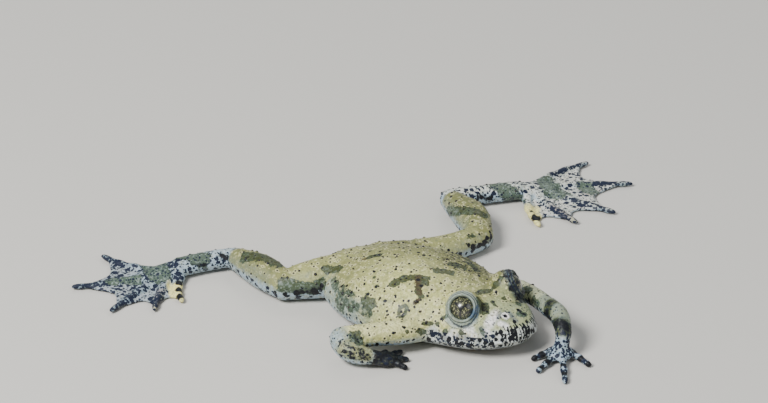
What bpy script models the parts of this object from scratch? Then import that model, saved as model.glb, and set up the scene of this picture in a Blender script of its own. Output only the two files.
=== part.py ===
"""Fire-bellied toad, life size, afloat with its hind legs spread: a still model in named solids.

Lengths below are millimetres, and the last step turns every mesh into metres. +Y is the way the
toad faces, +X is its right and +Z is up. The belly and the feet lie on small flats at z = 0.
"""

import math
import random

import bpy
import bmesh
from mathutils import Matrix, Vector
from mathutils.bvhtree import BVHTree

METRES_PER_MM = 0.001
GAP = 0.3
FLOOR = 0.0

# Surfacing: the fused forms are resampled at this pitch, softened, and thinned to a light mesh.
SKIN_PITCH = 0.24
SKIN_SMOOTHING = 3
SKIN_TRIANGLES = 7400
SECTION_POINTS = 36
LIMB_POINTS = 16
STEPS_PER_SPAN = 5
# Sizes of the rings that round off a limb's end, as shares of its last section.
CAP_SHARES = (0.25, 0.6, 0.85)
MERGE_DISTANCE = 0.001
# Segments round a ball and rings over it.
FINE_BALL = (24, 16)
PLAIN_BALL = (20, 12)
SMALL_BALL = (8, 6)
WART_BALL = (6, 4)
DISC_SEGMENTS = 24
ROD_RESOLUTION = 1
# Along a limb this steep, its sections keep their width along X.
STEEPEST_LIMB = 0.2
# A bend sharper than this share of straight is cut across without an inset.
LEAST_BEND = 0.3

# Trunk and head as one form, bent a little to the right behind the shoulders. Each row:
# y, x of the midline, half width, top, underside, height of the widest line.
CORE_STATIONS = (
    (-19.0, 2.6, 0.4, 3.7, 3.0, 3.3),
    (-18.5, 2.6, 2.6, 4.7, 1.2, 3.1),
    (-17.0, 2.7, 4.6, 5.8, 0.2, 3.1),
    (-14.4, 2.7, 6.8, 7.1, -0.2, 3.1),
    (-10.8, 2.7, 9.1, 8.5, -0.3, 3.2),
    (-6.0, 2.4, 11.2, 9.8, -0.3, 3.4),
    (-1.0, 1.9, 12.0, 10.4, -0.3, 3.5),
    (4.0, 1.2, 11.6, 10.3, -0.3, 3.6),
    (8.0, 0.6, 10.2, 9.7, -0.2, 3.6),
    (11.5, 0.1, 9.1, 9.1, -0.1, 3.6),
    (14.5, 0.0, 8.1, 8.6, 0.2, 3.7),
    (17.5, -0.2, 6.8, 7.8, 0.7, 3.9),
    (19.8, -0.5, 5.1, 7.0, 1.3, 4.1),
    (21.5, -0.8, 3.3, 6.2, 2.0, 4.3),
    (22.5, -1.0, 1.6, 5.4, 3.0, 4.4),
    (22.8, -1.0, 0.3, 4.7, 4.1, 4.4),
)
UPPER_ROUNDNESS = 2.0
LOWER_ROUNDNESS = 2.5

EYE_CENTRE = {"right": (4.5, 13.5, 7.5), "left": (-4.7, 14.5, 8.0)}
EYE_AXIS = {"right": (0.75, 0.42, 0.51), "left": (-0.68, 0.55, 0.48)}
EYE_RADIUS = 2.45
EYE_MOUND_RADIUS = 3.25
EYE_OPENING_RADIUS = 2.2
EYE_OPENING_OUT = 0.2

NOSTRIL = {"right": (1.0, 19.45, 6.98), "left": (-1.95, 19.6, 6.95)}
NOSTRIL_RADIUS = 0.36

MOUTH_BACK_Y = 11.6
MOUTH_FRONT_Y = 22.3
MOUTH_BACK_Z = 2.1
MOUTH_FRONT_Z = 3.2
MOUTH_GROOVE_RADIUS = 0.3
MOUTH_GROOVE_OUT = 0.1
LIP_RADIUS = 0.42
LIP_RISE = 0.55
MOUTH_POINTS = 13

NECK_Y = 10.6

# Limbs. Each waypoint: x, y, z, half width, half height.
UPPER_ARM = {
    "right": (
        (8.4, 8.2, 3.7, 2.5, 2.5),
        (12.6, 6.8, 3.8, 2.15, 2.15),
        (16.8, 4.2, 3.9, 1.95, 1.95),
        (20.6, 1.2, 3.7, 1.9, 1.9),
    ),
    "left": (
        (-8.9, 5.8, 3.4, 2.3, 2.3),
        (-11.9, 10.4, 3.3, 1.65, 1.7),
        (-10.5, 15.4, 4.4, 1.55, 1.6),
        (-8.6, 20.2, 5.2, 1.6, 1.6),
    ),
}
FOREARM = {
    "right": (
        (20.8, 1.2, 3.2, 1.8, 1.8),
        (21.2, 3.8, 2.6, 1.9, 1.9),
        (20.2, 6.0, 2.1, 1.5, 1.5),
        (19.0, 7.4, 1.8, 1.2, 1.2),
    ),
    "left": (
        (-8.6, 20.2, 5.2, 1.6, 1.6),
        (-7.6, 23.4, 5.2, 1.65, 1.7),
        (-5.9, 25.9, 4.6, 1.45, 1.45),
        (-4.8, 27.0, 3.6, 1.25, 1.25),
    ),
}
THIGH = {
    "right": (
        (3.6, -12.6, 3.9, 3.7, 3.7),
        (7.8, -15.2, 3.6, 3.5, 3.5),
        (11.4, -17.8, 3.1, 2.9, 3.0),
        (13.4, -19.2, 2.7, 2.3, 2.5),
    ),
    "left": (
        (-2.8, -13.2, 3.4, 3.1, 3.1),
        (-11.0, -9.8, 2.7, 2.7, 2.7),
        (-16.4, -8.2, 2.5, 2.45, 2.45),
        (-22.2, -7.5, 2.4, 2.15, 2.25),
    ),
}
SHANK = {
    "right": (
        (13.4, -19.2, 2.7, 2.4, 2.5),
        (13.0, -24.2, 3.0, 2.9, 2.9),
        (12.4, -29.2, 2.6, 2.4, 2.4),
        (11.8, -33.4, 2.0, 1.7, 1.7),
    ),
    "left": (
        (-22.2, -7.5, 2.4, 2.15, 2.25),
        (-25.5, -12.6, 2.8, 3.1, 2.75),
        (-27.6, -17.6, 2.4, 2.45, 2.3),
        (-29.2, -21.4, 2.0, 1.75, 1.7),
    ),
}
TARSUS = {
    "right": (
        (11.8, -33.4, 2.0, 1.75, 1.7),
        (15.6, -35.8, 1.8, 1.9, 1.6),
        (19.8, -37.8, 1.6, 2.2, 1.45),
    ),
    "left": (
        (-29.2, -21.4, 2.0, 1.75, 1.7),
        (-34.6, -18.6, 1.8, 1.9, 1.6),
        (-40.3, -15.5, 1.6, 2.2, 1.45),
    ),
}

# Feet: the sole starts where the tarsus ends, and the toes stand on it at these places.
SOLE_END = {"right": (26.0, -39.8), "left": (-46.0, -12.6)}
TOE_TIPS = {
    "right": ((26.4, -30.4), (31.5, -31.6), (36.8, -36.5), (35.7, -47.0), (25.0, -51.3)),
    "left": ((-34.8, -5.4), (-40.1, -1.5), (-47.4, 0.8), (-57.4, -4.1), (-57.9, -14.8)),
}
TOE_ROOTS = ((1.0, 2.2), (2.8, 1.5), (4.6, 0.8), (5.6, -0.7), (3.8, -2.0))
TOE_ROOT_RADIUS = 0.95
TOE_MIDDLE_RADIUS = 0.72
TOE_TIP_RADIUS = 0.45
TOE_HEIGHT = 0.62
TOE_ROOT_RISE = 0.2
TOE_MIDDLE_SHARE = 0.55
TOE_FLATNESS = 0.92
SOLE_HALF_WIDTH = 2.9
SOLE_HALF_HEIGHT = 0.95
# The sole's waypoints: place along the foot from the tarsus, height, half width, half height.
SOLE_HEEL = (-0.6, 1.5, 2.1, 1.35)
SOLE_MIDDLE = (2.4, 1.2, 2.6, 1.1)
SOLE_FRONT_HEIGHT = 0.8
SOLE_FRONT_HALF_HEIGHT = 0.76
WEB_REACH = 0.74
WEB_NOTCH = 0.5
WEB_START = 0.6
WEB_HALF_THICKNESS = 0.34
WEB_HEIGHT = 0.5

# Hands: a palm and four fingers, each finger from its root on the palm to its tip.
PALM = {"right": (17.3, 8.1, 1.15), "left": (-3.9, 27.2, 1.15)}
PALM_SIZE = {"right": (2.0, 1.9, 1.0), "left": (2.3, 2.2, 1.05)}
FINGER_ROOTS = {
    "right": ((16.6, 6.8), (16.0, 7.7), (16.2, 8.7), (17.0, 9.4)),
    "left": ((-3.4, 25.4), (-2.4, 27.0), (-2.8, 28.7), (-5.6, 28.0)),
}
FINGER_TIPS = {
    "right": ((14.9, 5.8), (13.2, 7.6), (14.2, 9.9), (16.3, 11.6)),
    "left": ((-0.3, 24.6), (2.1, 27.8), (1.6, 33.2), (-5.1, 32.4)),
}
FINGER_RADIUS = 0.62
FINGER_TIP_RADIUS = 0.55
FINGER_START_SHARE = 0.4
FINGER_START_HEIGHT = 1.1
FINGER_ROOT_HEIGHT = 1.0
FINGER_ROOT_SWELL = 1.1
FINGER_MIDDLE_SHARE = 0.8
# The wrist's three half widths and half heights, from the forearm's end to the palm.
WRIST_SIZES = ((1.25, 1.25), (1.3, 1.2), (1.5, 1.1))
WRIST_RISE = 0.25
KNUCKLE_HEIGHT = {"right": 1.05, "left": 0.95}

# Thin cuts between the nodes. A cut at a bend has a radius, and sits so far inside the bend.
KNEE_CUT = (4.6, 0.8)
ANKLE_CUT = (3.0, 0.4)
FOOT_CUT = (3.0, 0.0)
ELBOW_CUT = (3.8, 1.2)
WRIST_CUT = (2.2, 0.0)
SHOULDER_CUT = (14.8, 5.5, 3.85)
SHOULDER_CUT_RADIUS = 2.6
HIP_CUT = {"right": (10.4, -17.0, 3.5), "left": (-12.8, -9.2, 2.7)}
HIP_CUT_RADIUS = {"right": 4.0, "left": 3.3}
NECK_CUT_LOW = (-15.0, NECK_Y - GAP / 2, -1.0)
NECK_CUT_HIGH = (12.0, NECK_Y + GAP / 2, 14.0)
UNDER_FLOOR_LOW = (-70.0, -60.0, -3.0)
UNDER_FLOOR_HIGH = (50.0, 45.0, FLOOR)

WART_COUNT = 46
WART_SEED = 11
WART_RADII = (0.42, 0.75)
WART_FLATNESS = 0.5
WART_SPACING = 2.1
WART_SUNK = 0.08
WART_RAY_START = 20.0
WART_ACROSS = (-10.5, 10.5)
WART_ALONG = (-16.5, 9.0)
WART_LEAST_HEIGHT = 5.0
WART_STEEPEST = 0.45
WART_NECK_MARGIN = 1.4

# A point well inside trunk and head, to tell their solids by.
TORSO_MARK = (0.0, -4.0, 5.0)
HEAD_MARK = (0.0, 15.0, 4.0)
SHARP_EDGE = math.radians(50)

PALE_OLIVE = (0.46, 0.43, 0.29)
PALE_GREY = (0.52, 0.55, 0.58)
EYE_GOLD = (0.20, 0.15, 0.06)
BODY_ROUGHNESS = 0.5
LIMB_ROUGHNESS = 0.45
EYE_ROUGHNESS = 0.1


def clear_scene():
    for obj in list(bpy.data.objects):
        bpy.data.objects.remove(obj, do_unlink=True)


def new_collection(name):
    group = bpy.data.collections.new(name)
    bpy.context.scene.collection.children.link(group)
    return group


def new_object(name, mesh, group):
    obj = bpy.data.objects.new(name, mesh)
    group.objects.link(obj)
    return obj


def object_of(name, bm, group):
    bmesh.ops.recalc_face_normals(bm, faces=bm.faces)
    mesh = bpy.data.meshes.new(name)
    bm.to_mesh(mesh)
    bm.free()
    return new_object(name, mesh, group)


def settle(obj):
    """Makes what the modifiers show the object's own mesh."""
    graph = bpy.context.evaluated_depsgraph_get()
    mesh = bpy.data.meshes.new_from_object(obj.evaluated_get(graph))
    old = obj.data
    obj.modifiers.clear()
    obj.data = mesh
    bpy.data.meshes.remove(old)


def combine(base, group, operation):
    """One Boolean between an object and everything in a collection."""
    modifier = base.modifiers.new(operation.title(), "BOOLEAN")
    modifier.operation = operation
    modifier.operand_type = "COLLECTION"
    modifier.collection = group
    modifier.solver = "EXACT"
    settle(base)


def fuse(base, group):
    combine(base, group, "UNION")
    for piece in list(group.objects):
        bpy.data.objects.remove(piece, do_unlink=True)


def smooth_path(waypoints, steps=STEPS_PER_SPAN):
    """A Catmull-Rom curve through rows of numbers, with its ends kept."""
    rows = [Vector(row) for row in waypoints]
    rows = [2 * rows[0] - rows[1], *rows, 2 * rows[-1] - rows[-2]]
    path = []
    for a, b, c, d in zip(rows, rows[1:], rows[2:], rows[3:]):
        for step in range(steps):
            t = step / steps
            bend = (3 * (b - c) + d - a) * t + (2 * a - 5 * b + 4 * c - d)
            path.append(0.5 * ((bend * t + (c - a)) * t + 2 * b))
    path.append(rows[-2])
    return path


def loft(name, rings, group):
    """A closed form through rings of points, with a fan over each end."""
    bm = bmesh.new()
    loops = [[bm.verts.new(point) for point in ring] for ring in rings]
    for near, far in zip(loops, loops[1:]):
        count = len(near)
        for i in range(count):
            j = (i + 1) % count
            bm.faces.new((near[i], near[j], far[j], far[i]))
    for ring, points in ((loops[0], rings[0]), (loops[-1], rings[-1])):
        middle = bm.verts.new(sum(points, Vector()) / len(points))
        for i, vert in enumerate(ring):
            bm.faces.new((vert, ring[(i + 1) % len(ring)], middle))
    return object_of(name, bm, group)


def signed_power(value, power):
    return math.copysign(abs(value) ** power, value)


def core_ring(station):
    """One section of trunk or head: rounder above its widest line than below."""
    y, midline, half_width, top, underside, middle = station
    ring = []
    for i in range(SECTION_POINTS):
        angle = 2 * math.pi * i / SECTION_POINTS
        above = math.sin(angle) >= 0
        power = 2 / (UPPER_ROUNDNESS if above else LOWER_ROUNDNESS)
        reach = (top - middle) if above else (middle - underside)
        x = midline + half_width * signed_power(math.cos(angle), power)
        z = middle + reach * signed_power(math.sin(angle), power)
        ring.append(Vector((x, y, z)))
    return ring


def limb(name, waypoints, group, steps=STEPS_PER_SPAN):
    """A tapered limb with round ends, wider than high where the waypoints say so."""
    path = smooth_path(waypoints, steps)
    places = [Vector(row[:3]) for row in path]
    rings = []

    def ring_at(place, along, half_width, half_height):
        side = along.cross(Vector((0, 0, 1)))
        side = side.normalized() if side.length > STEEPEST_LIMB else Vector((1, 0, 0))
        rise = side.cross(along).normalized()
        ring = []
        for i in range(LIMB_POINTS):
            angle = 2 * math.pi * i / LIMB_POINTS
            ring.append(
                place
                + side * half_width * math.cos(angle)
                + rise * half_height * math.sin(angle)
            )
        return ring

    def round_end(row, along, outwards):
        half_width, half_height = row[3], row[4]
        reach = min(half_width, half_height)
        for share in CAP_SHARES if outwards < 0 else reversed(CAP_SHARES):
            out = reach * math.sqrt(1 - share * share)
            place = Vector(row[:3]) + along * outwards * out
            rings.append(ring_at(place, along, half_width * share, half_height * share))

    count = len(path)
    tangents = []
    for i in range(count):
        ahead = places[min(i + 1, count - 1)] - places[max(i - 1, 0)]
        tangents.append(ahead.normalized())
    round_end(path[0], tangents[0], -1)
    for row, place, along in zip(path, places, tangents):
        rings.append(ring_at(place, along, row[3], row[4]))
    round_end(path[-1], tangents[-1], 1)
    return loft(name, rings, group)


def ball(name, centre, size, group, fineness=FINE_BALL):
    segments, rings = fineness
    bm = bmesh.new()
    bmesh.ops.create_uvsphere(bm, u_segments=segments, v_segments=rings, radius=1)
    bmesh.ops.scale(bm, vec=size, verts=bm.verts)
    bmesh.ops.translate(bm, vec=centre, verts=bm.verts)
    return object_of(name, bm, group)


def disc(name, centre, normal, radius, thickness, group):
    bm = bmesh.new()
    turn = Vector((0, 0, 1)).rotation_difference(Vector(normal)).to_matrix().to_4x4()
    bmesh.ops.create_cone(
        bm,
        cap_ends=True,
        segments=DISC_SEGMENTS,
        radius1=radius,
        radius2=radius,
        depth=thickness,
        matrix=Matrix.Translation(centre) @ turn,
    )
    return object_of(name, bm, group)


def block(name, low, high, group):
    bm = bmesh.new()
    bmesh.ops.create_cube(bm, size=1)
    low, high = Vector(low), Vector(high)
    bmesh.ops.scale(bm, vec=high - low, verts=bm.verts)
    bmesh.ops.translate(bm, vec=(low + high) / 2, verts=bm.verts)
    return object_of(name, bm, group)


def plate(name, outline, height, half_thickness, group):
    """A flat outline with a thickness, from a filled curve."""
    curve = bpy.data.curves.new(name, "CURVE")
    curve.dimensions = "2D"
    curve.fill_mode = "BOTH"
    curve.extrude = half_thickness
    spline = curve.splines.new("POLY")
    spline.points.add(len(outline) - 1)
    for point, (x, y) in zip(spline.points, outline):
        point.co = (x, y, height, 1)
    spline.use_cyclic_u = True
    return curve_to_mesh(name, curve, group)


def rod(name, points, radius, group):
    """A round bar along a list of points."""
    curve = bpy.data.curves.new(name, "CURVE")
    curve.dimensions = "3D"
    curve.bevel_depth = radius
    curve.bevel_resolution = ROD_RESOLUTION
    curve.use_fill_caps = True
    spline = curve.splines.new("POLY")
    spline.points.add(len(points) - 1)
    for point, place in zip(spline.points, points):
        point.co = (*place, 1)
    return curve_to_mesh(name, curve, group)


def curve_to_mesh(name, curve, group):
    guide = new_object(name + "_curve", curve, group)
    graph = bpy.context.evaluated_depsgraph_get()
    mesh = bpy.data.meshes.new_from_object(guide.evaluated_get(graph))
    bpy.data.objects.remove(guide, do_unlink=True)
    bm = bmesh.new()
    bm.from_mesh(mesh)
    bpy.data.meshes.remove(mesh)
    bmesh.ops.remove_doubles(bm, verts=bm.verts, dist=MERGE_DISTANCE)
    return object_of(name, bm, group)


def mouth_line(rise=0.0, outwards=0.0):
    """Points along the mouth, from the right corner round the snout to the left corner."""
    rows = smooth_path(CORE_STATIONS, 12)
    right, left = [], []
    for i in range(MOUTH_POINTS):
        share = math.sin(math.pi / 2 * i / (MOUTH_POINTS - 1))
        y = MOUTH_BACK_Y + (MOUTH_FRONT_Y - MOUTH_BACK_Y) * share
        z = MOUTH_BACK_Z + (MOUTH_FRONT_Z - MOUTH_BACK_Z) * share + rise
        row = min(rows, key=lambda station: abs(station[0] - y))
        midline, half_width, underside, middle = row[1], row[2], row[4], row[5]
        depth = max(0.0, (middle - z) / (middle - underside))
        across = max(0.0, 1 - depth**LOWER_ROUNDNESS) ** (1 / LOWER_ROUNDNESS)
        across = half_width * across + outwards
        right.append(Vector((midline + across, y, z)))
        left.append(Vector((midline - across, y, z)))
    front = (right.pop() + left.pop()) / 2
    return [*right, front, *reversed(left)]


def foot_forms(side, group):
    """Sole, toes and webs of one hind foot."""
    start = Vector(TARSUS[side][-1][:2])
    end = Vector(SOLE_END[side])
    along = (end - start).normalized()
    across = Vector((-along.y, along.x))
    if across.dot(Vector(TOE_TIPS[side][0]) - start) < 0:
        across = -across
    heel, middle = SOLE_HEEL, SOLE_MIDDLE
    limb(
        f"sole_{side}",
        (
            (*(start + along * heel[0]), *heel[1:]),
            (*(start + along * middle[0]), *middle[1:]),
            (*end, SOLE_FRONT_HEIGHT, SOLE_HALF_WIDTH, SOLE_FRONT_HALF_HEIGHT),
        ),
        group,
    )
    roots = [start + along * a + across * b for a, b in TOE_ROOTS]
    tips = [Vector(tip) for tip in TOE_TIPS[side]]
    for number, (root, tip) in enumerate(zip(roots, tips), 1):
        bend = root.lerp(tip, TOE_MIDDLE_SHARE)
        rows = (
            (*root, TOE_HEIGHT + TOE_ROOT_RISE, TOE_ROOT_RADIUS),
            (*bend, TOE_HEIGHT, TOE_MIDDLE_RADIUS),
            (*tip, TOE_TIP_RADIUS, TOE_TIP_RADIUS),
        )
        limb(f"toe_{number}_{side}", [(*row, row[3] * TOE_FLATNESS) for row in rows], group)
    outline = [roots[0].lerp(start, WEB_START)]
    for i, (root, tip) in enumerate(zip(roots, tips)):
        outline.append(root.lerp(tip, WEB_REACH))
        if i < len(tips) - 1:
            between = (tip + tips[i + 1]) / 2
            base = (root + roots[i + 1]) / 2
            outline.append(base.lerp(between, WEB_NOTCH))
    outline.append(roots[-1].lerp(start, WEB_START))
    plate(f"web_{side}", outline, WEB_HEIGHT, WEB_HALF_THICKNESS, group)


def hand_forms(side, group):
    """Palm, wrist and fingers of one hand."""
    palm = Vector(PALM[side])
    ball(f"palm_{side}", palm, PALM_SIZE[side], group, PLAIN_BALL)
    wrist = Vector(FOREARM[side][-1][:3])
    places = (wrist, (wrist + palm) / 2, palm + Vector((0, 0, WRIST_RISE)))
    limb(f"wrist_{side}", [(*p, *size) for p, size in zip(places, WRIST_SIZES)], group)
    knuckle = KNUCKLE_HEIGHT[side] * FINGER_MIDDLE_SHARE
    radius, tip_radius = FINGER_RADIUS, FINGER_TIP_RADIUS
    for number, (root, tip) in enumerate(zip(FINGER_ROOTS[side], FINGER_TIPS[side]), 1):
        root, tip = Vector(root), Vector(tip)
        rows = (
            (*palm.xy.lerp(root, FINGER_START_SHARE), FINGER_START_HEIGHT, radius),
            (*root, FINGER_ROOT_HEIGHT, radius * FINGER_ROOT_SWELL),
            (*((root + tip) / 2), knuckle, radius),
            (*tip, tip_radius, tip_radius),
        )
        limb(f"finger_{number}_{side}", [(*row, row[3]) for row in rows], group)


def whole_toad(parts):
    """Trunk, head, limbs and lids fused, surfaced, thinned and set on the floor."""
    flesh = loft("flesh", [core_ring(row) for row in smooth_path(CORE_STATIONS)], parts)
    forms = new_collection("forms")
    for side in ("right", "left"):
        ball(f"mound_{side}", EYE_CENTRE[side], [EYE_MOUND_RADIUS] * 3, forms)
        for name, table in (
            ("upper_arm", UPPER_ARM),
            ("forearm", FOREARM),
            ("thigh", THIGH),
            ("shank", SHANK),
            ("tarsus", TARSUS),
        ):
            limb(f"{name}_{side}", table[side], forms)
        hand_forms(side, forms)
        foot_forms(side, forms)
    rod("upper_lip", mouth_line(LIP_RISE), LIP_RADIUS, forms)
    fuse(flesh, forms)

    surface = flesh.modifiers.new("Surface", "REMESH")
    surface.mode = "VOXEL"
    surface.voxel_size = SKIN_PITCH
    soften = flesh.modifiers.new("Soften", "SMOOTH")
    soften.iterations = SKIN_SMOOTHING
    soften.factor = 0.5
    settle(flesh)
    flesh.data.calc_loop_triangles()
    thin = flesh.modifiers.new("Thin", "DECIMATE")
    thin.ratio = SKIN_TRIANGLES / len(flesh.data.loop_triangles)
    thin.use_collapse_triangulate = True
    settle(flesh)
    return flesh


def bend_cut(name, before, joint, after, radius, inset, cutters):
    """A disc across a bend, in the plane that halves the angle there."""
    back = (Vector(before) - Vector(joint)).normalized()
    on = (Vector(after) - Vector(joint)).normalized()
    inner = back + on
    inner = inner.normalized() if inner.length > LEAST_BEND else Vector()
    disc(name, Vector(joint) + inner * inset, back - on, radius, GAP, cutters)


def cut_openings(flesh, cutters):
    """Sockets, lids' openings, nostrils, the mouth and the flats underneath."""
    for side in ("right", "left"):
        centre = Vector(EYE_CENTRE[side])
        axis = Vector(EYE_AXIS[side]).normalized()
        ball(f"socket_{side}", centre, [EYE_RADIUS + GAP] * 3, cutters, PLAIN_BALL)
        place = centre + axis * (EYE_RADIUS + EYE_OPENING_OUT)
        disc(f"opening_{side}", place, axis, EYE_OPENING_RADIUS, EYE_RADIUS, cutters)
        ball(f"nostril_{side}", NOSTRIL[side], [NOSTRIL_RADIUS] * 3, cutters, SMALL_BALL)
    rod("mouth", mouth_line(outwards=MOUTH_GROOVE_OUT), MOUTH_GROOVE_RADIUS, cutters)
    block("under_floor", UNDER_FLOOR_LOW, UNDER_FLOOR_HIGH, cutters)


def cut_joints(cutters):
    """Thin discs that part the limbs, and one that parts the head and the forward arm."""
    block("neck_cut", NECK_CUT_LOW, NECK_CUT_HIGH, cutters)
    shoulder = UPPER_ARM["right"]
    away = Vector(shoulder[2][:3]) - Vector(shoulder[1][:3])
    disc("shoulder_cut_right", SHOULDER_CUT, away, SHOULDER_CUT_RADIUS, GAP, cutters)
    for side in ("right", "left"):
        thigh, shank, tarsus = THIGH[side], SHANK[side], TARSUS[side]
        arm, forearm = UPPER_ARM[side], FOREARM[side]
        away = Vector(thigh[2][:3]) - Vector(thigh[1][:3])
        disc(f"hip_cut_{side}", HIP_CUT[side], away, HIP_CUT_RADIUS[side], GAP, cutters)
        sole = Vector((*SOLE_END[side], SOLE_FRONT_HEIGHT))
        for name, before, joint, after, size in (
            ("knee", thigh[2][:3], shank[0][:3], shank[1][:3], KNEE_CUT),
            ("ankle", shank[2][:3], tarsus[0][:3], tarsus[1][:3], ANKLE_CUT),
            ("foot", tarsus[1][:3], tarsus[2][:3], sole, FOOT_CUT),
            ("elbow", arm[2][:3], forearm[0][:3], forearm[1][:3], ELBOW_CUT),
            ("wrist", forearm[2][:3], forearm[3][:3], PALM[side], WRIST_CUT),
        ):
            bend_cut(f"{name}_cut_{side}", before, joint, after, *size, cutters)


def islands(bm):
    """The closed surfaces of a mesh, each as the set of its faces' indices."""
    bm.faces.ensure_lookup_table()
    seen = set()
    found = []
    for start in bm.faces:
        if start.index in seen:
            continue
        members, front = {start.index}, [start]
        while front:
            for edge in front.pop().edges:
                for face in edge.link_faces:
                    if face.index not in members:
                        members.add(face.index)
                        front.append(face)
        seen |= members
        found.append(members)
    return found


def node_marks():
    """A point well inside each node of flesh, by the node's name."""
    marks = {"torso": Vector(TORSO_MARK), "head": Vector(HEAD_MARK)}
    for side in ("right", "left"):
        thigh = THIGH[side]
        hip = Vector(HIP_CUT[side])
        marks[f"thigh_{side}"] = hip.lerp(Vector(thigh[3][:3]), 0.5)
        marks[f"shank_{side}"] = Vector(SHANK[side][1][:3])
        marks[f"tarsus_{side}"] = Vector(TARSUS[side][1][:3])
        marks[f"foot_{side}"] = Vector((*SOLE_END[side], SOLE_FRONT_HEIGHT))
        marks[f"upper_arm_{side}"] = Vector(UPPER_ARM[side][2][:3])
        marks[f"forearm_{side}"] = Vector(FOREARM[side][1][:3])
        marks[f"hand_{side}"] = Vector(PALM[side])
    return marks


def part_nodes(flesh, parts):
    """Makes each node from the closed surface that lies nearest to its mark."""
    whole = bmesh.new()
    whole.from_mesh(flesh.data)
    surface = BVHTree.FromBMesh(whole)
    found = islands(whole)
    nodes = {}
    for name, mark in node_marks().items():
        nearest_face = surface.find_nearest(mark)[2]
        keep = next(members for members in found if nearest_face in members)
        bm = whole.copy()
        bm.faces.ensure_lookup_table()
        others = [face for face in bm.faces if face.index not in keep]
        bmesh.ops.delete(bm, geom=others, context="FACES")
        nodes[name] = object_of(name, bm, parts)
    whole.free()
    bpy.data.objects.remove(flesh, do_unlink=True)
    return nodes


def add_warts(torso):
    """Low round warts over the back, each sunk in the skin it stands on."""
    draw = random.Random(WART_SEED)
    bm = bmesh.new()
    bm.from_mesh(torso.data)
    surface = BVHTree.FromBMesh(bm)
    bm.free()
    warts = new_collection("warts")
    placed = []
    while len(placed) < WART_COUNT:
        x = draw.uniform(*WART_ACROSS)
        y = draw.uniform(*WART_ALONG)
        radius = draw.uniform(*WART_RADII)
        spot, normal, _, _ = surface.ray_cast(Vector((x, y, WART_RAY_START)), Vector((0, 0, -1)))
        if spot is None or normal.z < WART_STEEPEST or spot.z < WART_LEAST_HEIGHT:
            continue
        if abs(y - NECK_Y) < WART_NECK_MARGIN:
            continue
        if any((spot - other).length < WART_SPACING for other in placed):
            continue
        placed.append(spot)
        bump = bmesh.new()
        around, over = WART_BALL
        bmesh.ops.create_uvsphere(bump, u_segments=around, v_segments=over, radius=radius)
        bmesh.ops.scale(bump, vec=(1, 1, WART_FLATNESS), verts=bump.verts)
        turn = Vector((0, 0, 1)).rotation_difference(normal).to_matrix()
        bmesh.ops.rotate(bump, cent=(0, 0, 0), matrix=turn, verts=bump.verts)
        bmesh.ops.translate(bump, vec=spot - normal * WART_SUNK, verts=bump.verts)
        object_of(f"wart_{len(placed)}", bump, warts)
    fuse(torso, warts)
    bpy.data.collections.remove(warts)


def add_eyes(parts):
    eyes = {}
    for side in ("right", "left"):
        name = f"eye_{side}"
        eyes[name] = ball(name, EYE_CENTRE[side], [EYE_RADIUS] * 3, parts, PLAIN_BALL)
    return eyes


def finish(name, colour, roughness):
    material = bpy.data.materials.new(name)
    material.use_nodes = True
    shader = material.node_tree.nodes["Principled BSDF"]
    shader.inputs["Base Color"].default_value = (*colour, 1)
    shader.inputs["Roughness"].default_value = roughness
    shader.inputs["Metallic"].default_value = 0.0
    return material


def dress(nodes):
    for name, obj in nodes.items():
        if name.startswith("eye"):
            obj.data.materials.append(finish(f"{name}_gold", EYE_GOLD, EYE_ROUGHNESS))
        elif name.startswith(("foot", "tarsus", "hand")):
            obj.data.materials.append(finish(f"{name}_skin", PALE_GREY, LIMB_ROUGHNESS))
        else:
            obj.data.materials.append(finish(f"{name}_skin", PALE_OLIVE, BODY_ROUGHNESS))
        obj.data.shade_smooth()
        obj.data.set_sharp_from_angle(angle=SHARP_EDGE)


def main():
    clear_scene()
    parts = new_collection("fire_bellied_toad")
    cutters = new_collection("cutters")
    flesh = whole_toad(parts)
    cut_openings(flesh, cutters)
    cut_joints(cutters)
    combine(flesh, cutters, "DIFFERENCE")
    nodes = part_nodes(flesh, parts)
    add_warts(nodes["torso"])
    nodes.update(add_eyes(parts))
    dress(nodes)
    to_metres = Matrix.Scale(METRES_PER_MM, 4)
    for obj in list(bpy.data.objects):
        obj.data.transform(to_metres)
    for guide in cutters.objects:
        guide.hide_render = True
        guide.display_type = "WIRE"


main()
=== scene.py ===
"""Looks of a life-size fire-bellied toad, afloat with its hind legs spread.

Lengths are millimetres until a finished mesh is turned into metres. +Y is the way the toad faces,
+X is its right and +Z is up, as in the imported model.
"""

import logging
import math
from collections.abc import Iterable, Sequence
from dataclasses import dataclass, field
from enum import Enum
from itertools import product

import bmesh
import bpy
import numpy as np
from mathutils import Matrix, Vector
from mathutils.kdtree import KDTree

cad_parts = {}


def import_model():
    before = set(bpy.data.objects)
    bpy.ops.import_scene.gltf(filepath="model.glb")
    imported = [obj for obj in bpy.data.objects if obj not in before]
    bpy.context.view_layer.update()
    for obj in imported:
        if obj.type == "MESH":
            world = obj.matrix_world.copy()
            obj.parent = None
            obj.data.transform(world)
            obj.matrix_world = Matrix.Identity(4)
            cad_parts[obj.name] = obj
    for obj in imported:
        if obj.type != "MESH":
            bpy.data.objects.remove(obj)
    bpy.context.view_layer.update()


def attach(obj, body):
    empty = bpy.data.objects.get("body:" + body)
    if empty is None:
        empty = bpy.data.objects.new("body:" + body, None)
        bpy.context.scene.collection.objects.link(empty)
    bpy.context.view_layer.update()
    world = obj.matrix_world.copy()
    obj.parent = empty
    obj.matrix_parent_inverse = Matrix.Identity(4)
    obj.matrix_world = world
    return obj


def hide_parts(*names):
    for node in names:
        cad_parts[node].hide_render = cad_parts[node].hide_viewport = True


log = logging.getLogger("toad")

METRES_PER_MM = 0.001
BODY = "root"
CLEAR = -1.5  # a layer's value well outside every mark
BALL_SEGMENTS = (28, 18)
HOOP_SEGMENTS = (48, 12)

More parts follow.
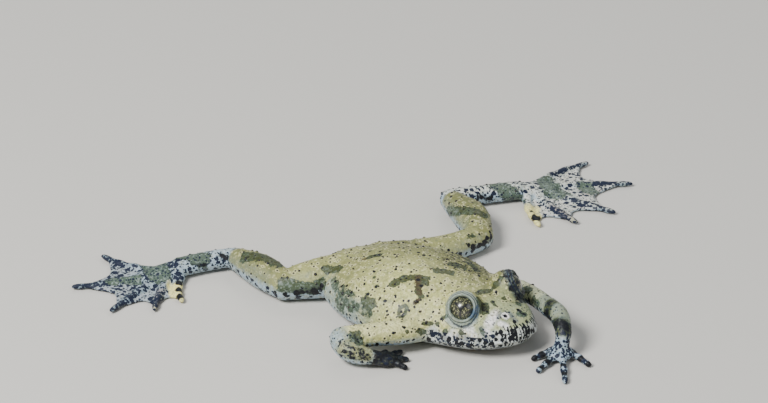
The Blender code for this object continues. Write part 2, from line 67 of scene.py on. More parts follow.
Rows = Sequence[Sequence[float]]
Colour = tuple[float, float, float]
Place = tuple[float, float, float]


class Side(Enum):
    """The toad's own right and left."""

    RIGHT = "right"
    LEFT = "left"


class Slot(Enum):
    """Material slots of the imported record."""

    SKIN = "skin"
    EYE = "eye"


class Pigment(Enum):
    """Colours of the living skin, as linear red, green and blue."""

    SAND = (0.56, 0.56, 0.215)
    OLIVE_SAND = (0.185, 0.19, 0.065)
    OLIVE = (0.038, 0.045, 0.009)
    GREY_GREEN = (0.062, 0.098, 0.062)
    BLUE_GREY = (0.30, 0.37, 0.33)
    MINT = (0.43, 0.48, 0.26)
    WHITE = (0.98, 0.96, 0.93)
    BLUE_WHITE = (0.38, 0.50, 0.60)
    LAVENDER = (0.13, 0.15, 0.19)
    SLATE = (0.045, 0.075, 0.105)
    BOTTLE = (0.020, 0.034, 0.018)
    NAVY = (0.003, 0.004, 0.007)
    INK = (0.008, 0.014, 0.034)
    DEEP_BLUE = (0.022, 0.085, 0.19)
    YELLOW = (0.80, 0.44, 0.02)
    LEMON = (0.95, 0.86, 0.34)
    PINK = (0.50, 0.36, 0.31)
    CREAM = (0.84, 0.80, 0.44)
    UMBER = (0.060, 0.034, 0.013)


# Trunk and head. Each row: y, x of the midline, half width, top, underside, widest line's height.
CORE_STATIONS = (
    (-19.0, 2.6, 0.4, 3.7, 3.0, 3.3),
    (-18.5, 2.6, 2.6, 4.7, 1.2, 3.1),
    (-17.0, 2.7, 4.6, 5.8, 0.2, 3.1),
    (-14.4, 2.7, 6.8, 7.1, -0.2, 3.1),
    (-10.8, 2.7, 9.1, 8.5, -0.3, 3.2),
    (-6.0, 2.4, 11.2, 9.8, -0.3, 3.4),
    (-1.0, 1.9, 12.0, 10.4, -0.3, 3.5),
    (4.0, 1.2, 11.6, 10.3, -0.3, 3.6),
    (8.0, 0.6, 10.2, 9.7, -0.2, 3.6),
    (11.5, 0.1, 9.1, 9.1, -0.1, 3.6),
    (14.5, 0.0, 8.1, 8.6, 0.2, 3.7),
    (17.5, -0.2, 6.8, 7.8, 0.7, 3.9),
    (19.8, -0.5, 5.1, 7.0, 1.3, 4.1),
    (21.5, -0.8, 3.3, 6.2, 2.0, 4.3),
    (22.5, -1.0, 1.6, 5.4, 3.0, 4.4),
    (22.8, -1.0, 0.3, 4.7, 4.1, 4.4),
)

# Limbs. Each waypoint: x, y, z, half width, half height.
UPPER_ARM = {
    Side.RIGHT: (
        (8.4, 8.2, 3.7, 2.5, 2.5),
        (12.6, 6.8, 3.8, 2.15, 2.15),
        (16.8, 4.2, 3.9, 1.95, 1.95),
        (20.6, 1.2, 3.7, 1.9, 1.9),
    ),
    Side.LEFT: (
        (-8.9, 5.8, 3.4, 2.3, 2.3),
        (-11.9, 10.4, 3.3, 1.65, 1.7),
        (-10.5, 15.4, 4.4, 1.55, 1.6),
        (-8.6, 20.2, 5.2, 1.6, 1.6),
    ),
}
FOREARM = {
    Side.RIGHT: (
        (20.8, 1.2, 3.2, 1.8, 1.8),
        (21.2, 3.8, 2.6, 1.9, 1.9),
        (20.2, 6.0, 2.1, 1.5, 1.5),
        (19.0, 7.4, 1.8, 1.2, 1.2),
    ),
    Side.LEFT: (
        (-8.6, 20.2, 5.2, 1.6, 1.6),
        (-7.6, 23.4, 5.2, 1.65, 1.7),
        (-5.9, 25.9, 4.6, 1.45, 1.45),
        (-4.8, 27.0, 3.6, 1.25, 1.25),
    ),
}
THIGH = {
    Side.RIGHT: (
        (3.6, -12.6, 3.9, 3.7, 3.7),
        (7.8, -15.2, 3.6, 3.5, 3.5),
        (11.4, -17.8, 3.1, 2.9, 3.0),
        (13.4, -19.2, 2.7, 2.3, 2.5),
    ),
    Side.LEFT: (
        (-2.8, -13.2, 3.4, 3.1, 3.1),
        (-11.0, -9.8, 2.7, 2.7, 2.7),
        (-16.4, -8.2, 2.5, 2.45, 2.45),
        (-22.2, -7.5, 2.4, 2.15, 2.25),
    ),
}
SHANK = {
    Side.RIGHT: (
        (13.4, -19.2, 2.7, 2.4, 2.5),
        (13.0, -24.2, 3.0, 2.9, 2.9),
        (12.4, -29.2, 2.6, 2.4, 2.4),
        (11.8, -33.4, 2.0, 1.7, 1.7),
    ),
    Side.LEFT: (
        (-22.2, -7.5, 2.4, 2.15, 2.25),
        (-25.5, -12.6, 2.8, 3.1, 2.75),
        (-27.6, -17.6, 2.4, 2.45, 2.3),
        (-29.2, -21.4, 2.0, 1.75, 1.7),
    ),
}
TARSUS = {
    Side.RIGHT: (
        (11.8, -33.4, 2.0, 1.75, 1.7),
        (15.6, -35.8, 1.8, 1.9, 1.6),
        (19.8, -37.8, 1.6, 2.2, 1.45),
    ),
    Side.LEFT: (
        (-29.2, -21.4, 2.0, 1.75, 1.7),
        (-34.6, -18.6, 1.8, 1.9, 1.6),
        (-40.3, -15.5, 1.6, 2.2, 1.45),
    ),
}


def step(low: float, high: float, value: np.ndarray) -> np.ndarray:
    """A smooth rise from 0 at low to 1 at high; it falls where low is above high."""
    share = np.clip((value - low) / (high - low), 0.0, 1.0)
    return share * share * (3.0 - 2.0 * share)


def smooth_path(waypoints: Rows, steps: int = 6) -> list[Vector]:
    """A Catmull-Rom curve through rows of numbers, with its ends kept.

    Args:
        waypoints: The rows, all of one length.
        steps: Points for each span between two rows.

    Returns:
        The rows of the curve.
    """
    rows = [Vector(row) for row in waypoints]
    rows = [2 * rows[0] - rows[1], *rows, 2 * rows[-1] - rows[-2]]
    path = []
    for a, b, c, d in zip(rows, rows[1:], rows[2:], rows[3:]):
        for i in range(steps):
            t = i / steps
            bend = (3 * (b - c) + d - a) * t + (2 * a - 5 * b + 4 * c - d)
            path.append(0.5 * ((bend * t + (c - a)) * t + 2 * b))
    path.append(rows[-2])
    return path


def signed_power(value: float, power: float) -> float:
    """The power of a number's size, with its sign kept."""
    return math.copysign(abs(value) ** power, value)


def gap_to_path(
    points: np.ndarray, path: Rows, radii: Sequence[float] | None = None
) -> tuple[np.ndarray, np.ndarray]:
    """How far points lie from a line of places.

    Args:
        points: The points, one a row.
        path: The places along the line.
        radii: A radius at each place, to measure in instead of millimetres.

    Returns:
        The gap of each point, and the share of the line's length where it lies nearest.
    """
    places = np.array([tuple(p)[:3] for p in path], float)
    if len(places) == 1:
        places = np.repeat(places, 2, axis=0)
    widths = np.ones(len(places)) if radii is None else np.array(radii, float)
    lengths = np.maximum(np.linalg.norm(np.diff(places, axis=0), axis=1), 1e-9)
    starts = np.concatenate([[0.0], np.cumsum(lengths)])
    gaps = np.full(len(points), np.inf)
    shares = np.zeros(len(points))
    for i, length in enumerate(lengths):
        way = places[i + 1] - places[i]
        t = np.clip(((points - places[i]) @ way) / length**2, 0.0, 1.0)
        gap = np.linalg.norm(points - places[i] - t[:, None] * way, axis=1)
        gap /= widths[i] * (1 - t) + widths[i + 1] * t
        closer = gap < gaps
        gaps = np.where(closer, gap, gaps)
        shares = np.where(closer, (starts[i] + t * length) / starts[-1], shares)
    return gaps, shares


def settle(obj: bpy.types.Object) -> None:
    """Makes what an object's modifiers show its own plain mesh."""
    graph = bpy.context.evaluated_depsgraph_get()
    mesh = bpy.data.meshes.new_from_object(obj.evaluated_get(graph))
    old = obj.data
    obj.modifiers.clear()
    obj.data = mesh
    bpy.data.meshes.remove(old)


def new_object(name: str, mesh: bpy.types.Mesh) -> bpy.types.Object:
    """Links a new object with this mesh to the scene."""
    obj = bpy.data.objects.new(name, mesh)
    bpy.context.scene.collection.objects.link(obj)
    return obj


class Clay:
    """Closed forms heaped into one mesh, to be surfaced as one skin."""

    def __init__(self) -> None:
        """Starts with nothing in the heap."""
        self.bm = bmesh.new()

    def loft(self, rings: list[list[Vector]]) -> None:
        """Adds a closed form through rings of points, with a fan over each end.

        Args:
            rings: The rings, each with the same number of points.
        """
        bm = self.bm
        loops = [[bm.verts.new(point) for point in ring] for ring in rings]
        for near, far in zip(loops, loops[1:]):
            for i, vert in enumerate(near):
                j = (i + 1) % len(near)
                bm.faces.new((vert, near[j], far[j], far[i]))
        for ring, points in ((loops[0], rings[0]), (loops[-1], rings[-1])):
            middle = bm.verts.new(sum(points, Vector()) / len(points))
            for i, vert in enumerate(ring):
                bm.faces.new((vert, ring[(i + 1) % len(ring)], middle))

    def limb(self, waypoints: Rows, around: int = 20, steps: int = 6) -> None:
        """Adds a tapered limb with round ends.

        Args:
            waypoints: Rows of x, y, z, half width and half height.
            around: Points in each ring.
            steps: Rings for each span between two waypoints.
        """
        path = smooth_path(waypoints, steps)
        places = [Vector(row[:3]) for row in path]
        last = len(path) - 1
        ways = [
            (places[min(i + 1, last)] - places[max(i - 1, 0)]).normalized()
            for i in range(len(path))
        ]

        def ring(place: Vector, way: Vector, width: float, height: float) -> list[Vector]:
            """Points round one section of the limb."""
            across = way.cross(Vector((0, 0, 1)))
            across = across.normalized() if across.length > 0.2 else Vector((1, 0, 0))
            rise = across.cross(way).normalized()
            turns = [2 * math.pi * i / around for i in range(around)]
            return [
                place + across * width * math.cos(t) + rise * height * math.sin(t)
                for t in turns
            ]

        def cap(row: Vector, way: Vector, outwards: int) -> list[list[Vector]]:
            """Rings of a round end, in order along the limb."""
            shares = (0.25, 0.6, 0.85) if outwards < 0 else (0.85, 0.6, 0.25)
            reach = min(row[3], row[4])
            rings = []
            for share in shares:
                place = Vector(row[:3]) + way * outwards * reach * math.sqrt(1 - share**2)
                rings.append(ring(place, way, row[3] * share, row[4] * share))
            return rings

        body = [ring(p, w, row[3], row[4]) for p, w, row in zip(places, ways, path)]
        self.loft([*cap(path[0], ways[0], -1), *body, *cap(path[-1], ways[-1], 1)])

    def ball(self, centre: Sequence[float], size: Sequence[float]) -> None:
        """Adds an ellipsoid, from its middle and its three half axes."""
        place = Matrix.Translation(Vector(centre)) @ Matrix.Diagonal((*size, 1))
        around, along = BALL_SEGMENTS
        bmesh.ops.create_uvsphere(
            self.bm, u_segments=around, v_segments=along, radius=1, matrix=place
        )

    def hoop(self, centre: Vector, axis: Vector, radius: float, thickness: float) -> None:
        """Adds a closed ring of round section.

        Args:
            centre: Its middle.
            axis: What it goes round.
            radius: From the middle to the middle of the section.
            thickness: Radius of the section.
        """
        turn = Vector((0, 0, 1)).rotation_difference(axis).to_matrix()
        around, section = HOOP_SEGMENTS
        loops = []
        for i in range(around):
            a = 2 * math.pi * i / around
            out = Vector((math.cos(a), math.sin(a), 0))
            ring = []
            for j in range(section):
                b = 2 * math.pi * j / section
                local = out * (radius + thickness * math.cos(b))
                local.z = thickness * math.sin(b)
                ring.append(self.bm.verts.new(centre + turn @ local))
            loops.append(ring)
        for near, far in zip(loops, [*loops[1:], loops[0]]):
            for j in range(section):
                k = (j + 1) % section
                self.bm.faces.new((near[j], near[k], far[k], far[j]))

    def sheet(self, grid: list[list[Vector]], half_thickness: float) -> None:
        """Adds a thin closed sheet over a grid of places.

        Args:
            grid: Rows of places, all of one length.
            half_thickness: From the places up, and from them down.
        """
        bm, lift = self.bm, Vector((0, 0, half_thickness))
        upper = [[bm.verts.new(place + lift) for place in row] for row in grid]
        lower = [[bm.verts.new(place - lift) for place in row] for row in grid]
        for layer, flip in ((upper, False), (lower, True)):
            for near, far in zip(layer, layer[1:]):
                for i in range(len(near) - 1):
                    face = (near[i], near[i + 1], far[i + 1], far[i])
                    bm.faces.new(face[::-1] if flip else face)
        last = len(grid[0]) - 1
        rim = [(0, i) for i in range(last)]
        rim += [(j, last) for j in range(len(grid) - 1)]
        rim += [(len(grid) - 1, i) for i in range(last, 0, -1)]
        rim += [(j, 0) for j in range(len(grid) - 1, 0, -1)]
        for (a, b), (c, d) in zip(rim, [*rim[1:], rim[0]]):
            bm.faces.new((upper[a][b], lower[a][b], lower[c][d], upper[c][d]))

    def take(self, name: str) -> bpy.types.Object:
        """The heap as an object of this name, and the end of the heap."""
        bmesh.ops.recalc_face_normals(self.bm, faces=self.bm.faces)
        mesh = bpy.data.meshes.new(name)
        self.bm.to_mesh(mesh)
        self.bm.free()
        return new_object(name, mesh)


@dataclass
class Hide:
    """The surfaced skin as arrays: its points, its normals and what is painted on it."""

    mesh: bpy.types.Mesh
    points: np.ndarray = field(init=False)
    normals: np.ndarray = field(init=False)
    ground: np.ndarray = field(init=False)
    layers: dict[str, np.ndarray] = field(init=False)

    def __post_init__(self) -> None:
        """Reads the mesh, and starts with plain sand colour and empty layers."""
        count = len(self.mesh.vertices)
        self.points = np.empty(count * 3)
        self.mesh.vertices.foreach_get("co", self.points)
        self.points = self.points.reshape(-1, 3)
        self.ground = np.tile(np.array(Pigment.SAND.value), (count, 1))
        self.layers = {
            "olive": np.full(count, CLEAR),
            "black": np.full(count, CLEAR),
            "belly": np.zeros(count),
            "grain": np.ones(count),
            "spots": np.zeros(count),
            "dots": np.zeros(count),
            "cover": np.zeros(count),
            "umber": np.full(count, CLEAR),
            "lid": np.full(count, -1.0),
            "lip": np.zeros(count),
            "bars": np.zeros(count),
            "wet": np.zeros(count),
        }
        self.refresh()

    def refresh(self) -> None:
        """Works the normals out again from the points."""
        self.mesh.vertices.foreach_set("co", self.points.ravel())
        self.mesh.update()
        normals = np.empty(len(self.points) * 3)
        self.mesh.vertex_normals.foreach_get("vector", normals)
        self.normals = normals.reshape(-1, 3)

    def push(self, distance: np.ndarray) -> None:
        """Moves each point along its normal by its own distance."""
        self.points = self.points + self.normals * distance[:, None]

    def lay(self, pigment: Pigment, mask: np.ndarray) -> None:
        """Paints a pigment over the ground where the mask is above 0."""
        share = np.clip(mask, 0.0, 1.0)[:, None]
        self.ground = self.ground * (1 - share) + np.array(pigment.value) * share

    def away(self, place: Sequence[float]) -> np.ndarray:
        """Each point's distance from a place."""
        return np.linalg.norm(self.points - np.array(place), axis=1)

    def limb(self, waypoints: Rows) -> tuple[np.ndarray, np.ndarray]:
        """Each point's gap to a limb's middle in the limb's own radii, and its share along."""
        path = smooth_path(waypoints, 4)
        return gap_to_path(self.points, path, [(row[3] + row[4]) / 2 for row in path])

    def raise_layer(self, name: str, value: np.ndarray) -> None:
        """Keeps the larger of a layer and a value at each point."""
        self.layers[name] = np.maximum(self.layers[name], value)

    def fade_layer(self, name: str, mask: np.ndarray) -> None:
        """Takes a layer towards 0 where the mask is above 0."""
        self.layers[name] = self.layers[name] * (1 - np.clip(mask, 0.0, 1.0))

    def draw(self, name: str, marks: Iterable["Mark"]) -> None:
        """Draws marks into a layer, which is 1 along a mark and 0 at its edge."""
        for mark in marks:
            self.raise_layer(name, mark.value_at(self.points))

    def blot(self, rows: Rows) -> None:
        """Draws round black blots, each given as x, y, z and radius."""
        self.draw("black", (Mark((row[:3],), row[3]) for row in rows))

    def store(self) -> None:
        """Writes the points and every layer into the mesh, for its finish to read."""
        self.refresh()
        count = len(self.points)
        colour = self.mesh.attributes.new("ground", "FLOAT_COLOR", "POINT")
        rgba = np.ones((count, 4), np.float32)
        rgba[:, :3] = self.ground
        colour.data.foreach_set("color", rgba.ravel())
        for name, values in self.layers.items():
            layer = self.mesh.attributes.new(name, "FLOAT", "POINT")
            layer.data.foreach_set("value", values.astype(np.float32))


@dataclass(frozen=True)
class Mark:
    """A marking on the skin: a line of places in millimetres, its reach and how strong it is."""

    places: Rows
    half_width: float
    strength: float = 1.0

    def value_at(self, points: np.ndarray) -> np.ndarray:
        """Its strength on the line, 0 at the mark's edge and down to CLEAR outside it."""
        value = np.full(len(points), CLEAR)
        line = np.array([tuple(place) for place in self.places], float)
        reach = 2.5 * self.half_width
        low, high = line.min(axis=0) - reach, line.max(axis=0) + reach
        near = ((points > low) & (points < high)).all(axis=1)
        gaps, _ = gap_to_path(points[near], line)
        value[near] = np.clip(1 - gaps / self.half_width, CLEAR, self.strength)
        return value


@dataclass
class Trunk:
    """Back, belly, flanks and the head's own shell."""

    upper_roundness: float = 2.0
    lower_roundness: float = 2.5
    section_points: int = 56
    mounds: tuple[tuple[Place, Place], ...] = (
        ((5.6, 4.6, 6.5), (4.3, 4.6, 3.15)),
        ((-3.4, 5.4, 6.3), (4.0, 4.6, 3.2)),
        ((3.0, -9.0, 5.1), (4.0, 5.4, 3.55)),
    )
    wart_seed: int = 11
    wart_count: int = 760
    wart_spacing: float = 0.78
    wart_least_up: float = 0.12
    wart_least_height: float = 2.4
    wart_front: float = 15.5
    wart_radii: tuple[float, float] = (0.28, 0.52)
    wart_heights: tuple[float, float] = (0.2, 0.36)
    tipped_share: float = 0.62
    crowd_least: float = 0.26
    crowd_fade: float = 12.0
    tips: list[tuple[int, float]] = field(default_factory=list)
    halo: list[tuple[int, float]] = field(default_factory=list)
    olive_marks: tuple[Mark, ...] = (
        Mark(((8.7, 1.5, 9.0), (7.9, 1.7, 9.3), (6.9, 2.3, 9.6), (5.8, 3.2, 9.8)), 0.8),
        Mark(((5.8, 3.2, 9.8), (5.0, 4.3, 9.9), (4.6, 5.0, 9.8)), 0.75),
        Mark(((6.0, 4.9, 9.5), (6.9, 5.6, 9.0), (7.5, 6.1, 8.7), (7.6, 6.7, 8.5)), 0.68),
        Mark(((5.0, 5.6, 9.6), (5.4, 6.0, 9.4)), 0.5),
        Mark(((8.9, 6.6, 7.7), (8.2, 7.0, 8.0)), 0.4),
        Mark(((11.4, 6.1, 5.6), (11.5, 5.4, 5.9), (10.8, 5.1, 6.8), (10.1, 5.6, 7.2)), 0.34),
        Mark(((10.1, 5.6, 7.2), (10.2, 6.1, 6.9), (10.8, 6.2, 6.3), (11.4, 6.1, 5.6)), 0.3),
        Mark(((11.3, 2.2, 7.2),), 0.35),
        Mark(((9.0, -2.4, 8.8),), 0.35),
        Mark(((10.1, -0.7, 8.3),), 0.35),
        Mark(((11.7, -1.3, 7.2),), 0.42),
        Mark(((1.8, 4.9, 10.0), (0.4, 6.6, 9.8)), 0.8),
        Mark(((-1.8, 4.9, 10.0), (-2.9, 6.4, 9.5)), 0.85),
        Mark(((5.1, -7.3, 9.2), (3.9, -6.2, 9.6)), 0.7, 0.5),
        Mark(((-5.1, 5.9, 9.0), (-4.6, 7.9, 8.9)), 0.8, 0.6),
        Mark(((-6.7, 3.4, 8.7), (-6.4, 4.7, 8.7)), 0.7, 0.6),
        Mark(((12.5, -1.1, 6.5), (12.4, 0.3, 6.4)), 0.95),
        Mark(((9.8, 9.7, 5.3), (9.0, 10.5, 5.3)), 0.42),
        Mark(((8.7, 11.5, 5.5),), 0.4),
        Mark(((7.9, 11.8, 6.3), (7.4, 12.3, 6.7)), 0.36),
        Mark(((-6.2, -2.0, 9.2), (-7.6, 0.4, 8.6)), 0.8, 0.6),
        Mark(((-4.6, -9.0, 8.2), (-6.4, -10.4, 7.2)), 0.9, 0.6),
        Mark(((-9.6, 3.0, 7.4), (-10.0, 5.6, 6.6)), 0.8, 0.6),
    )
    grey_marks: tuple[Mark, ...] = (
        Mark(((12.7, -6.8, 5.6), (13.0, -4.6, 5.7)), 1.5, 0.6),
        Mark(((13.6, -3.4, 4.9), (13.5, -2.1, 5.2)), 1.0, 0.7),
        Mark(((13.5, -0.9, 5.1), (13.3, 0.3, 5.1)), 0.7, 0.6),
        Mark(((13.4, -6.8, 4.1), (13.7, -5.8, 3.5)), 1.0, 0.6),
        Mark(((10.9, -10.2, 6.1), (11.7, -8.7, 5.9)), 0.8, 0.6),
        Mark(((-12.0, -1.0, 5.0), (-11.6, 1.6, 4.6)), 1.1, 0.6),
        Mark(((-10.6, -7.0, 5.2), (-11.2, -5.0, 4.6)), 1.0, 0.6),
    )
    umber_marks: tuple[Mark, ...] = (
        Mark(((5.2, 3.9, 9.8), (6.2, 4.6, 9.4), (6.9, 5.6, 9.0), (7.5, 6.4, 8.6)), 0.62),
        Mark(((5.8, -7.9, 9.0),), 0.55),
        Mark(((8.9, 6.7, 7.7), (8.3, 6.9, 8.0)), 0.42),
    )
    blots: Rows = (
        (11.4, 2.3, 7.3, 0.3), (11.4, 1.2, 7.4, 0.26), (9.9, 5.0, 7.8, 0.27), (9.4, 5.7, 7.8, 0.27),
        (8.6, 7.0, 7.8, 0.26), (9.4, 7.0, 7.2, 0.26), (10.2, 6.6, 6.7, 0.27),
        (10.0, 3.3, 8.1, 0.26), (12.1, 3.4, 6.1, 0.27), (13.0, 8.2, 5.3, 0.3),
        (8.1, 10.0, 6.9, 0.26), (9.3, 8.2, 6.7, 0.26), (10.4, 8.9, 5.9, 0.27),
        (11.0, 5.6, 6.4, 0.27), (11.2, 6.0, 5.9, 0.26), (12.1, 6.8, 5.9, 0.27),
        (0.7, -12.5, 7.7, 0.30), (3.1, -9.2, 9.0, 0.30), (2.7, -7.2, 9.5, 0.34),
        (4.3, -6.9, 9.5, 0.30), (4.1, -5.3, 9.8, 0.30), (5.3, -4.8, 9.8, 0.30),
        (3.1, -13.6, 7.6, 0.30), (6.1, -9.4, 8.5, 0.28), (8.5, -7.9, 8.4, 0.28),
        (8.1, -3.4, 9.3, 0.30), (6.0, -0.5, 10.0, 0.32), (3.1, -3.1, 10.2, 0.34),
        (-1.4, -4.9, 9.6, 0.34), (-0.5, -1.5, 10.2, 0.34), (-0.3, -0.1, 10.3, 0.40),
        (3.5, 0.2, 10.3, 0.28), (-6.3, -3.4, 8.2, 0.34), (-12.5, -7.5, 4.1, 0.34),
        (-13.3, -6.6, 3.7, 0.30), (-3.9, 3.3, 9.6, 0.30), (-5.5, 3.1, 9.1, 0.30),
        (-4.6, 4.8, 9.3, 0.30), (10.4, -0.8, 8.3, 0.30), (10.7, -3.1, 8.1, 0.28),
        (12.3, -4.5, 6.7, 0.32), (11.8, -1.2, 7.3, 0.34), (11.8, -7.1, 6.5, 0.30),
        (11.6, -6.2, 6.9, 0.30), (10.9, -9.6, 6.2, 0.28), (10.3, 1.1, 8.2, 0.27),
        (5.6, 4.3, 9.7, 0.36), (6.4, 5.7, 9.4, 0.34), (6.6, 5.2, 9.1, 0.42), (7.3, 6.2, 8.7, 0.34),
    )
    bumps: Rows = (
        (6.5, 9.6, 8.1), (7.7, 10.5, 6.8), (9.0, 8.3, 6.8), (10.2, 9.0, 5.9), (7.9, 12.5, 6.0),
        (11.9, -7.1, 6.4), (2.5, 7.9, 9.5), (5.5, 7.3, 8.9), (-6.4, 9.6, 7.6), (-8.4, 8.6, 6.6),
    )
    creases: tuple[tuple[Rows, float, float], ...] = (
        (((11.6, 3.6, 7.6), (13.0, 1.6, 5.6), (13.4, 0.6, 3.2)), 0.5, 0.28),
        (((-10.6, 3.4, 7.6), (-11.6, 1.2, 5.4), (-11.8, 0.4, 3.0)), 0.5, 0.25),
        (((13.6, -1.4, 5.8), (13.9, -4.6, 4.4), (12.8, -8.4, 3.2)), 0.45, 0.2),
        (((13.2, 0.6, 4.4), (13.8, -3.0, 3.0), (12.9, -7.4, 1.8)), 0.4, 0.18),
        (((9.2, -11.0, 7.0), (10.2, -12.6, 5.4), (10.4, -13.8, 3.6)), 0.5, 0.3),
        (((-7.6, -10.6, 6.6), (-9.2, -11.8, 5.0), (-9.4, -12.6, 3.4)), 0.5, 0.28),
        (((10.4, 8.4, 6.2), (10.6, 9.8, 4.4), (9.8, 11.0, 2.6)), 0.45, 0.24),
        (((-9.4, 9.2, 6.2), (-9.6, 10.6, 4.4), (-8.8, 11.8, 2.6)), 0.45, 0.24),
    )
    bump_radius: float = 0.95
    bump_height: float = 0.2
    soft_strength: float = 0.06
    dark_shoulder: Place = (-5.2, 5.0, 8.8)

    def section(self, station: Vector) -> list[Vector]:
        """One ring of the trunk, rounder above its widest line than below."""
        y, midline, half_width, top, underside, middle = station
        ring = []
        for i in range(self.section_points):
            turn = 2 * math.pi * i / self.section_points
            above = math.sin(turn) >= 0
            power = 2 / (self.upper_roundness if above else self.lower_roundness)
            reach = (top - middle) if above else (middle - underside)
            x = midline + half_width * signed_power(math.cos(turn), power)
            z = middle + reach * signed_power(math.sin(turn), power)
            ring.append(Vector((x, y, z)))
        return ring

    def shape(self, clay: Clay) -> None:
        """Heaps the trunk and its low muscle mounds."""
        clay.loft([self.section(row) for row in smooth_path(CORE_STATIONS, 8)])
        for centre, size in self.mounds:
            clay.ball(centre, size)

    def wart_field(self, hide: Hide) -> np.ndarray:
        """Low round warts over back and flanks, from a fixed seed.

        Args:
            hide: The skin.

        Returns:
            How far each point rises.
        """
        draw = np.random.default_rng(self.wart_seed)
        rise = np.zeros(len(hide.points))
        tree = KDTree(len(hide.points))
        for i, point in enumerate(hide.points):
            tree.insert(point, i)
        tree.balance()
        cells: set[tuple[int, ...]] = set()
        placed = 0
        for i in draw.permutation(len(hide.points)):
            point, normal = hide.points[i], hide.normals[i]
            if placed == self.wart_count:
                break
            if normal[2] < self.wart_least_up or point[2] < self.wart_least_height:
                continue
            if point[1] > self.wart_front or draw.random() > self.crowding(point):
                continue
            cell = tuple(int(v) for v in np.floor(point / self.wart_spacing))
            shifts = product((-1, 0, 1), repeat=3)
            if cells.intersection(tuple(a + b for a, b in zip(cell, shift)) for shift in shifts):
                continue
            cells.add(cell)
            placed += 1
            radius = draw.uniform(*self.wart_radii)
            height = radius * draw.uniform(*self.wart_heights)
            self.halo.append((int(i), radius))
            if draw.random() < self.tipped_share:
                self.tips.append((int(i), radius))
            for _, index, gap in tree.find_range(point, radius):
                share = 1 - (gap / radius) ** 2
                rise[index] = max(rise[index], height * share * share)
        return rise

    def bump_field(self, hide: Hide) -> np.ndarray:
        """A few larger pale bumps, on neck, flank and shoulders."""
        rise = np.zeros(len(hide.points))
        for place in self.bumps:
            gap = hide.away(place) / self.bump_radius
            rise = np.maximum(rise, self.bump_height * np.clip(1 - gap**2, 0, 1) ** 2)
        return rise

    def crowding(self, point: np.ndarray) -> float:
        """How closely warts stand there: closest on the far side, the rump and the shoulders."""
        x, y, _ = point
        far, rump = (2.0 - x) / self.crowd_fade, (-5.0 - y) / self.crowd_fade
        shoulder = 0.8 - abs(y - 5.0) / 7.0 - abs(x + 4.0) / self.crowd_fade
        return float(np.clip(self.crowd_least + max(far, rump, shoulder, 0.0), 0.0, 1.0))

    def fold_field(self, hide: Hide) -> np.ndarray:
        """Creases of the flanks, behind the arms and before the thighs."""
        depth = np.zeros(len(hide.points))
        for places, width, drop in self.creases:
            gaps, _ = gap_to_path(hide.points, smooth_path(places, 5))
            depth -= drop * np.exp(-((gaps / width) ** 2))
        return depth

    def paint(self, hide: Hide) -> None:
        """Colours back, flanks and belly, with painted shade and glints, before limbs and head are
        painted over them.
        """
        x, y, z = hide.points.T
        up = hide.normals[:, 2]
        # Painted shade over the far side's own denser mottling: olive sand deepens from the near
        # flank towards the far side.
        hide.lay(Pigment.OLIVE_SAND, step(7.0, -4.0, x))
        hide.lay(Pigment.OLIVE_SAND, 0.7 * step(1.0, -9.0, y))
        flank = step(7.6, 5.4, z) * step(0.92, 0.5, up) * step(4.0, -3.0, y)
        hide.lay(Pigment.BLUE_GREY, flank)
        hide.fade_layer("grain", 0.6 * flank)
        hide.lay(Pigment.BLUE_WHITE, 0.8 * step(3.6, 2.0, z) * step(0.4, -0.1, up))
        hide.layers["belly"] = step(-0.94, -0.995, up)
        # Cream round each wart, stronger towards the lit near flank: the warts' pale shoulders with
        # painted glints on them.
        halo = np.zeros(len(hide.points))
        for index, radius in self.halo:
            halo = np.maximum(halo, step(1.15, 0.5, hide.away(hide.points[index]) / radius))
        hide.lay(Pigment.CREAM, halo * (0.15 + 0.35 * step(-1.0, 7.0, x)))
        # Cream on the larger bumps: their own paler skin with painted glints of the wet surface.
        for place in self.bumps:
            gap = hide.away(place) / self.bump_radius
            hide.lay(Pigment.CREAM, 0.75 * step(1.0, 0.3, gap))
        hide.draw("olive", self.olive_marks)
        for mark in self.grey_marks:
            value = mark.value_at(hide.points)
            hide.lay(Pigment.GREY_GREEN, 0.5 * step(-0.2, 0.5, value))
            hide.raise_layer("olive", np.minimum(value, self.soft_strength))
        hide.draw("umber", self.umber_marks)
        hide.blot(self.blots)
        hide.raise_layer("spots", 0.75 * step(0.35, -0.1, up) * step(5.0, 3.0, z))
        away = hide.away(self.dark_shoulder)
        hide.raise_layer("dots", step(6.5, 3.5, away))
        hide.raise_layer("cover", 0.5 * step(5.5, 2.5, away))
        hide.lay(Pigment.OLIVE_SAND, 0.6 * step(6.0, 2.0, away))


